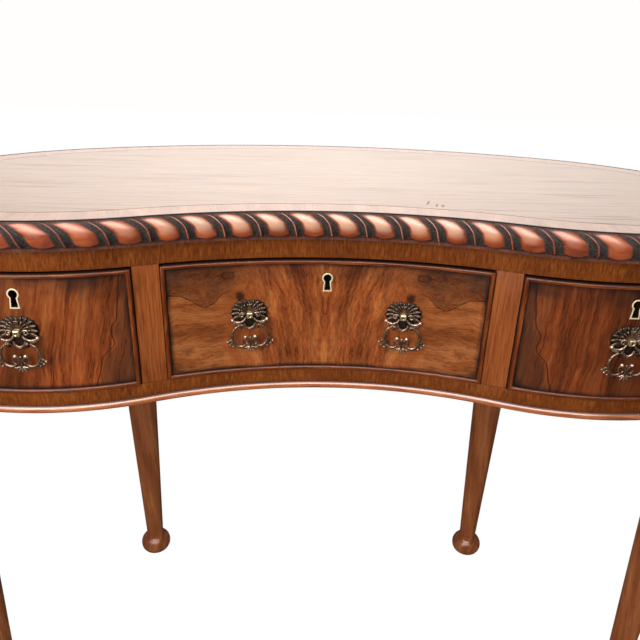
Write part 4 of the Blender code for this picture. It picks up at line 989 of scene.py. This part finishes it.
# End and back walls: the same walnut, darker, with a soft shine
PANEL_WOOD = veneer("panel_walnut_upright", "4e2307", "70330f", "8a4a1e", (0.40, 0.015), (0.02, 0.006), (0.9, 0.05),
                    polish=0.34, coat=0.15, gloss=0.3)
# Bead under the carcass: pale walnut with its grain along it, polished bright on the round, with dark wax and painted
# shade toward its joints above and below
BEAD_WOOD = veneer("base_bead_walnut", "8a451e", "ac5f34", "c27848", (0.05, 0.6), (0.02, 0.2), (0.1, 1.2),
                   polish=0.30, edge=("24100a", "31160a"), edge_share=0.9)
# Cock beads: dark red-brown walnut, with painted shade down the sides of the round and near black painted shade in the
# quirks, so that a thin line of light stays on its crest
COCK_WOOD = veneer("cock_bead_walnut_red", "4c200a", "6e3212", "904c22", (0.05, 0.8), (0.02, 0.2), (0.1, 1.2),
                   polish=0.22, edge=("1e0a04", "260f06"), edge_share=0.95, coat=0.0, gloss=0.20)
# Legs: turned walnut, straight upright grain under a satin polish
LEG_WOOD = veneer("leg_walnut_satin", "70391a", "914f26", "a86a38", (0.35, 0.012), (0.05, 0.006), (0.8, 0.05),
                  polish=0.34, coat=0.15, gloss=0.3)


# Places on the drawer fronts, in millimetres from the middle and from the floor
MATCH_X = -1.5
CURL_CORNER = (180.0, 480.0)
KNOT = (104.0, 691.0)
DARK_MARK = (92.0, 667.0)
SAP_LINE = ((78.0, 690.0), (92.0, 684.0), (103.0, 674.0), (110.0, 670.5), (116.0, 664.5), (123.0, 659.5),
            (130.5, 657.5), (138.0, 662.0), (148.0, 668.5), (158.0, 672.0), (176.0, 674.5))
SIDE_SAP_LINE = ((575.0, 244.0), (597.0, 236.6), (612.0, 233.0), (620.0, 226.5), (629.0, 220.5), (639.0, 222.2),
                 (646.0, 221.5), (653.0, 216.8), (670.0, 214.0), (707.0, 209.0))
# Darkest glow, where flames begin, shares of flames and pores, and least share of dark wax and painted shade
MATCHED_TONES = (0.62, 0.54, 0.50, 0.60, 0.50)
SIDE_TONES = (0.56, 0.48, 0.42, 0.22, 0.35)
# Bands of the figure, broad to fine: cycles a millimetre, roughness, warp and share
FIGURE_BANDS = (((0.060, 0.012), 0.55, 0.3, 0.42), ((0.34, 0.030), 0.65, 0.4, 0.30), ((1.00, 0.16), 0.70, 0.3, 0.28))


def along_line(wood, value, points):
    """The line through (value, height) points, as a height for each value."""
    low, high = points[0][0], points[-1][0]
    floor, roof = min(p[1] for p in points) - 1.0, max(p[1] for p in points) + 1.0
    curve = wood.add("FloatCurve", {1: wood.add("MapRange", value, low, high)})
    mapping = curve.node.mapping
    line = mapping.curves[0].points
    while len(line) < len(points):
        line.new(0.5, 0.5)
    for spot, (at, height) in zip(line, points):
        spot.location = ((at - low) / (high - low), (height - floor) / (roof - floor))
    mapping.update()
    return wood.add("Math MULTIPLY_ADD", curve, roof - floor, floor)


def figure(wood, ring, along, shift):
    """Height of the grain pattern, and its dark flames and pores, across rings of growth."""
    spot = wood.add("CombineXYZ", ring, along)
    blend = 0.0
    for cycles, rough, warp, share in FIGURE_BANDS:
        blend = wood.add("Math MULTIPLY_ADD", grain(wood, spot, cycles, shift, 3.0, rough, warp), share, blend)
    flame = grain(wood, spot, (0.15, 0.022), (shift[0] + 3.0, *shift[1:]), 4.0, 0.7, 0.8)
    return blend, flame, grain(wood, spot, (0.60, 0.11), shift, 3.0, 0.7, 0.5)


def sap_and_knot(wood, flat, across, up, knot, ripple, shift):
    """The ends of the middle front: height over the sap line, its share, and layers of stain.

    The layers are the clouded wood above the line, the knot's eye, rim and swirls, and a dark mark."""
    add = wood.add
    edge = add("Math SUBTRACT", add("Math ADD", up, -3.5), along_line(wood, across, SAP_LINE))
    edge = add("Math MULTIPLY_ADD", ripple, 4.0, edge)
    edge = add("Math MULTIPLY_ADD", grain(wood, flat, (0.30, 0.30), shift), 3.0, edge)
    reach = add("MapRange", across, 100.0, 112.0, 0.0, 0.85)
    burr = grain(wood, flat, (0.075, 0.11), shift, 5.0, 0.65, 2.2)
    over = add("Math MULTIPLY", add("MapRange", edge, -1.0, 3.0), add("MapRange", across, 92.0, 116.0, 0.0, 0.72))
    cloud = add("ValToRGB", burr, stops=((0.36, "86441a"), (0.50, "642f12"), (0.64, "3c1c0c")))
    knot = add("Math ADD", knot, add("MapRange", burr, 0.35, 0.65, -1.6, 1.6))
    eye = add("MapRange", knot, 2.0, 3.4, 0.55, 0.0)
    rim = add("MapRange", add("Math ABSOLUTE", add("Math ADD", knot, -3.8)), 0.5, 1.6, 0.75, 0.0)
    swirl = add("Math SINE", add("Math MULTIPLY_ADD", burr, 34.0, add("Math MULTIPLY", knot, 0.55)))
    swirl = add("Math MULTIPLY", add("MapRange", knot, 5.0, 34.0, 0.60, 0.0), add("MapRange", swirl, 0.2, 1.0))
    mark = add("Math MULTIPLY_ADD", grain(wood, flat, (0.40, 0.40), shift), 6.0,
               reach_from(wood, flat, DARK_MARK, (0.85, 0.62)))
    mark = add("MapRange", mark, 5.0, 8.2, 0.85, 0.0)
    return edge, reach, ((over, cloud), (eye, "6a2c14"), (rim, "24100a"), (swirl, "34160a"), (mark, "170c07"))


def front_finish(name, lean, dark, middle, light, shift):
    """Figured walnut of a drawer front, polished, with dark wax and painted shade in the corners and edges, and painted
    shade under the top rail.

    The middle front has no lean: its veneers mirror each other, and the upright grain turns level
    at both ends, under a dark sap line and a knot. In the side fronts the grain leans a little,
    with a darker strip past a sap line at the inner end."""
    wood = Finish(bpy.data.materials.new(name))
    add = wood.add
    matched = lean is None
    glow_low, flame_low, flames, pits, wax_and_shade_low = MATCHED_TONES if matched else SIDE_TONES
    plain = millimetres(wood)
    ways = add("SeparateXYZ", plain).node.outputs
    up = ways[1]
    across = add("Math ABSOLUTE", add("Math ADD", ways[0], -MATCH_X) if matched else ways[0])
    flat = add("CombineXYZ", across, up)
    wander = grain(wood, flat, (0.022, 0.026), shift, 3.0, 0.5)
    ripple = grain(wood, flat, (0.11, 0.07), shift, 3.0, 0.6)
    if matched:
        ring = add("Math MULTIPLY_ADD", wander, -16.0, reach_from(wood, flat, CURL_CORNER, (1.0, 0.36)))
    else:
        ring = add("Math MULTIPLY_ADD", wander, -10.0, add("Math MULTIPLY_ADD", up, lean, across))
    ring = add("Math MULTIPLY_ADD", ripple, 1.6, ring)
    blend, flame, pores = figure(wood, ring, up if matched else add("Math MULTIPLY", up, 0.5), shift)
    if matched:
        knot = reach_from(wood, flat, KNOT, (0.7, 1.0))
        rise = add("Math ADD", add("Math MULTIPLY_ADD", wander, 18.0, up), add("MapRange", knot, 3.0, 34.0, 16.0, 0.0))
        level = add("MapRange", add("Math MULTIPLY_ADD", wander, 60.0, across), 112.0, 144.0)
        others = figure(wood, add("Math ADD", rise, ripple), across, (5.2, 1.1, 0.0))
        blend, flame, pores = [add("Math MULTIPLY_ADD", add("Math SUBTRACT", other, own), level, own)
                               for own, other in zip((blend, flame, pores), others)]
    colour = add("ValToRGB", blend, stops=((0.40, dark), (0.50, middle), (0.60, light)))
    glow = grain(wood, add("CombineXYZ", ring, up), (0.050, 0.008), (shift[0] + 9.0, 2.0, 0.0), 3.0, 0.6, 0.5)
    glow = add("ValToRGB", glow, stops=((0.36, glow_low), (0.50, 0.84), (0.62, 1.0)))
    colour = laid_over(wood, colour, (1.0, glow), blend="MULTIPLY")
    if matched:
        ends = add("ValToRGB", blend, stops=((0.38, "6e3612"), (0.50, "925020"), (0.62, "a8683a")))
        colour = laid_over(wood, colour, (add("Math MULTIPLY", level, 0.75), ends))
    colour = laid_over(wood, colour, (add("MapRange", flame, flame_low, 0.68, 0.0, flames), "4a1c08"),
                       (add("MapRange", pores, 0.54, 0.70, 0.0, pits), "2e1508"))
    if matched:
        edge, reach, layers = sap_and_knot(wood, flat, across, up, knot, ripple, shift)
    else:
        edge = add("Math SUBTRACT", along_line(wood, up, SIDE_SAP_LINE), across)
        reach = 0.85
        smoke = add("MapRange", add("Math MULTIPLY_ADD", wander, 90.0, across), 312.0, 356.0, 0.0, 0.50)
        layers = ((smoke, "3c1c0c"), (add("MapRange", edge, -1.0, 5.0, 0.0, 0.62), "3f2615"))
    line = add("Math MULTIPLY", add("MapRange", add("Math ABSOLUTE", edge), 0.25, 1.1, 1.0, 0.0), reach)
    patch = grain(wood, plain, (0.018, 0.030), (7.0, 3.0, 1.0), 2.0)
    # Dark wax and painted shade from the front's shade value: corners, edges and the band under the top rail.
    shade = add("Attribute", attribute_name="shade", out=2)
    wax_and_shade = add("Math MULTIPLY", shade, add("MapRange", patch, 0.36, 0.56, wax_and_shade_low, 1.0))
    colour = laid_over(wood, colour, *layers, (line, "241008"), (wax_and_shade, "1d1512"))
    return wood.surface(colour, blend, 0.10, Roughness=add("MapRange", blend, 0.4, 0.6, 0.26, 0.36), IOR=1.50,
                        Coat_Weight=0.2, Coat_Roughness=0.16, Specular_IOR_Level=0.3)


CENTRE_VENEER = front_finish("centre_front_walnut_matched", None, "6c300f", "a04f1e", "c07032", (3.1, 0.4, 0.0))
# The side fronts differ partly in their own veneer and partly as painted light and shade: the left is paler and the
# right darker, as the light falls off toward the right.
LEFT_VENEER = front_finish("left_front_walnut_figured", 0.18, "582608", "984616", "bc662a", (8.0, 2.3, 1.0))
RIGHT_VENEER = front_finish("right_front_walnut_figured", -0.06, "4c2107", "833a12", "a25622", (8.0, 2.3, 1.0))


def oak(name, dark, middle, light):
    """Plain oak, sawn and planed: growth lines 3 to 4 mm apart, set by the piece's own space."""
    wood = Finish(bpy.data.materials.new(name))
    streak = grain(wood, millimetres(wood, True), (0.25, 0.02, 0.35), detail=5.0, warp=0.3)
    colour = wood.add("ValToRGB", streak, stops=((0.35, dark), (0.50, middle), (0.66, light)))
    return wood.surface(colour, streak, 0.15, Roughness=0.62)


# Drawer linings: pale oak, waxed and dull; carcass inside: the same oak, darker and dry
OAK_SIDE = oak("oak_plain_waxed", "8f6d49", "a98459", "bb9869")
OAK_CASE = oak("oak_plain_dry", "7d5d3e", "93714c", "a8865f")


def metal(name, bright, dark, deep, rough, patina, purity=1.0):
    """Cast or plain metal: bright high spots, darker patina in the hollows.

    The skin of a casting is uneven by about 0.3 mm. It is drawn 2 mm coarse, or it would not show."""
    made = Finish(bpy.data.materials.new(name))
    add = made.add
    cloud = grain(made, millimetres(made, True), (0.55, 0.55, 0.55), detail=4.0, rough=0.6)
    shade = add("Attribute", attribute_name="shade", out=2)
    tone = add("Math MULTIPLY_ADD", shade, patina, add("MapRange", cloud, 0.35, 0.7, -0.12, 0.22))
    colour = add("ValToRGB", tone, stops=((0.02, bright), (0.24, dark), (0.75, deep)))
    rough = add("MapRange", cloud, 0.3, 0.7, rough - 0.05, rough + 0.10)
    return made.surface(colour, cloud, 0.12, Roughness=rough, Metallic=purity)


# Pulls: cast brass under brown bronzing, which leaves the high spots bare and warm
BRONZE = metal("brass_cast_bronzed", "ae947f", "57412f", "140c07", 0.44, 0.95, 0.70)
# Their square nuts: brass worn bright, with dirt round the bolt
NUT_BRASS = metal("brass_nut_worn", "efe3c8", "c0a478", "3a2a1c", 0.28, 0.7, 0.7)
# Keyhole threads: pale brass rubbed smooth, a soft light line more than a mirror, its inner wall dark with painted
# shade
THREAD_BRASS = metal("brass_thread_polished", "ecd8b2", "dcc394", "1c130b", 0.42, 1.0, 0.2)
# Lock bolts: plain bright brass; lock cases: dull steel, made near black also as painted shade seen through the keyhole
BOLT_BRASS = metal("brass_bolt_plain", "e2c88c", "c2a05e", "7a6034", 0.28, 0.2)
CASE_STEEL = metal("steel_lock_case_dark_painted_shade", "2c2a28", "201e1c", "121110", 0.55, 0.4)


# Pieces, and the CAD nodes that are kept and only given a finish

make_top()
make_rope()
make_carcass()
make_base_bead()
make_legs()
make_drawer("centre_drawer", -INNER_STILE[0], INNER_STILE[0], 0.0, CENTRE_VENEER)
make_drawer("right_drawer", INNER_STILE[1], OUTER_STILE[0], SIDE_X, RIGHT_VENEER)
make_drawer("left_drawer", -OUTER_STILE[0], -INNER_STILE[1], -SIDE_X, LEFT_VENEER)
make_pull("pull_left", -SIDE_X, "left_drawer")
make_pull("pull_centre_left", -CENTRE_PULL_X, "centre_drawer")
make_pull("pull_centre_right", CENTRE_PULL_X, "centre_drawer")
make_pull("pull_right", SIDE_X, "right_drawer")

KEPT = {"partition": OAK_CASE, "drawer_guide": OAK_CASE, "_drawer_side": OAK_SIDE, "_drawer_bottom": OAK_SIDE,
        "_drawer_back": OAK_SIDE, "_lock_case": CASE_STEEL, "_lock_bolt": BOLT_BRASS}
for node_name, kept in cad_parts.items():
    for word, finish in KEPT.items():
        if word in node_name:
            kept.data.materials.clear()
            kept.data.materials.append(finish)


# Studio: a white floor and sky, a broad bright wall of light behind, soft light from the left

def light(name, place_at, aim, size, power, colour="ffffff", gloss_only=False, spread=180.0):
    """A soft rectangle of light. One that is only for the gloss is seen in reflections alone."""
    lamp = bpy.data.lights.new(name, "AREA")
    lamp.shape = "RECTANGLE"
    lamp.size, lamp.size_y = size
    lamp.energy = power
    lamp.color = tint(colour)[:3]
    lamp.spread = math.radians(spread)
    thing = bpy.data.objects.new(name, lamp)
    thing.location = place_at
    thing.rotation_euler = (Vector(aim) - Vector(place_at)).to_track_quat("-Z", "Y").to_euler()
    thing.visible_diffuse = not gloss_only
    bpy.context.scene.collection.objects.link(thing)


light("rear_softbox", (0.6, 3.4, 2.4), (0.6, 0.0, 0.6), (7.0, 2.8), 75.0, "fff1e6", gloss_only=True, spread=108.0)
light("ceiling_softbox", (-0.3, -1.15, 2.5), (0.0, -0.2, 0.7), (3.2, 2.1), 135.0, gloss_only=True, spread=130.0)
light("fill_softbox", (-0.6, -0.9, 2.9), (0.0, -0.1, 0.6), (3.4, 2.0), 19.0)
light("front_softbox", (-0.7, -1.2, 1.15), (-0.2, -0.2, 0.6), (1.0, 0.8), 15.5)

DIM_ROOM = 0.04
ROOM_LIGHT = 0.35
FLOOR_HALF = 9.0
WARM_WHITE = (1.0, 0.99, 0.975, 1.0)


def white_floor():
    """A white floor: lit as paper, clean white to the camera, dim in the polish."""
    form = Form()
    corners = [(x * FLOOR_HALF, y * FLOOR_HALF, 0.0) for x, y in ((-1, -1), (1, -1), (1, 1), (-1, 1))]
    form.face([form.point(corner) for corner in corners], [(0.0, 0.0)] * 4)
    thing = bpy.data.objects.new("floor", form.mesh("floor", 30))
    bpy.context.scene.collection.objects.link(thing)
    paper = Finish(bpy.data.materials.new("white_paper_floor"))
    add = paper.add
    thing.data.materials.append(paper.surface(tint("f2f2f2"), None, 0.0, Roughness=0.8))
    rays = add("LightPath").node.outputs
    dim = add("Emission", (1.0, 0.92, 0.84, 1.0), DIM_ROOM)
    seen = add("MixShader", rays["Is Glossy Ray"], paper.tree.nodes["Principled BSDF"].outputs[0], dim)
    seen = add("MixShader", rays["Is Camera Ray"], seen, add("Emission", (1.0, 1.0, 1.0, 1.0), 1.0))
    paper.feed(paper.tree.nodes["Material Output"], {0: seen})


def white_room():
    """A pale sky: soft on the desk, dim in the polish, clean white to the camera."""
    room = Finish(bpy.data.worlds.new("studio_white"))
    rays = room.add("LightPath").node.outputs
    power = room.add("MapRange", {0: rays["Is Glossy Ray"], 3: ROOM_LIGHT, 4: DIM_ROOM})
    power = room.add("MapRange", {0: rays["Is Camera Ray"], 3: power, 4: 1.0})
    room.feed(room.tree.nodes["Background"], {0: WARM_WHITE, 1: power})
    bpy.context.scene.world = room.owner


white_floor()
white_room()
bpy.context.scene.view_settings.view_transform = "Standard"

# The camera: its lens in millimetres, its place, and its turn, tilt and roll in degrees
LENS = 35.13
SENSOR = 36.0
EYE = (-0.0261, -0.8187, 0.9134)
TURNS = ((-1.73, "Z"), (90.0 - 23.54, "X"), (1.65, "Z"))
camera = bpy.data.objects.new("camera", bpy.data.cameras.new("camera"))
camera.data.lens = LENS
camera.data.sensor_width = SENSOR
aim = Matrix.Translation(EYE)
for degrees, axis in TURNS:
    aim = aim @ Matrix.Rotation(math.radians(degrees), 4, axis)
camera.matrix_world = aim
bpy.context.scene.collection.objects.link(camera)
bpy.context.scene.camera = camera
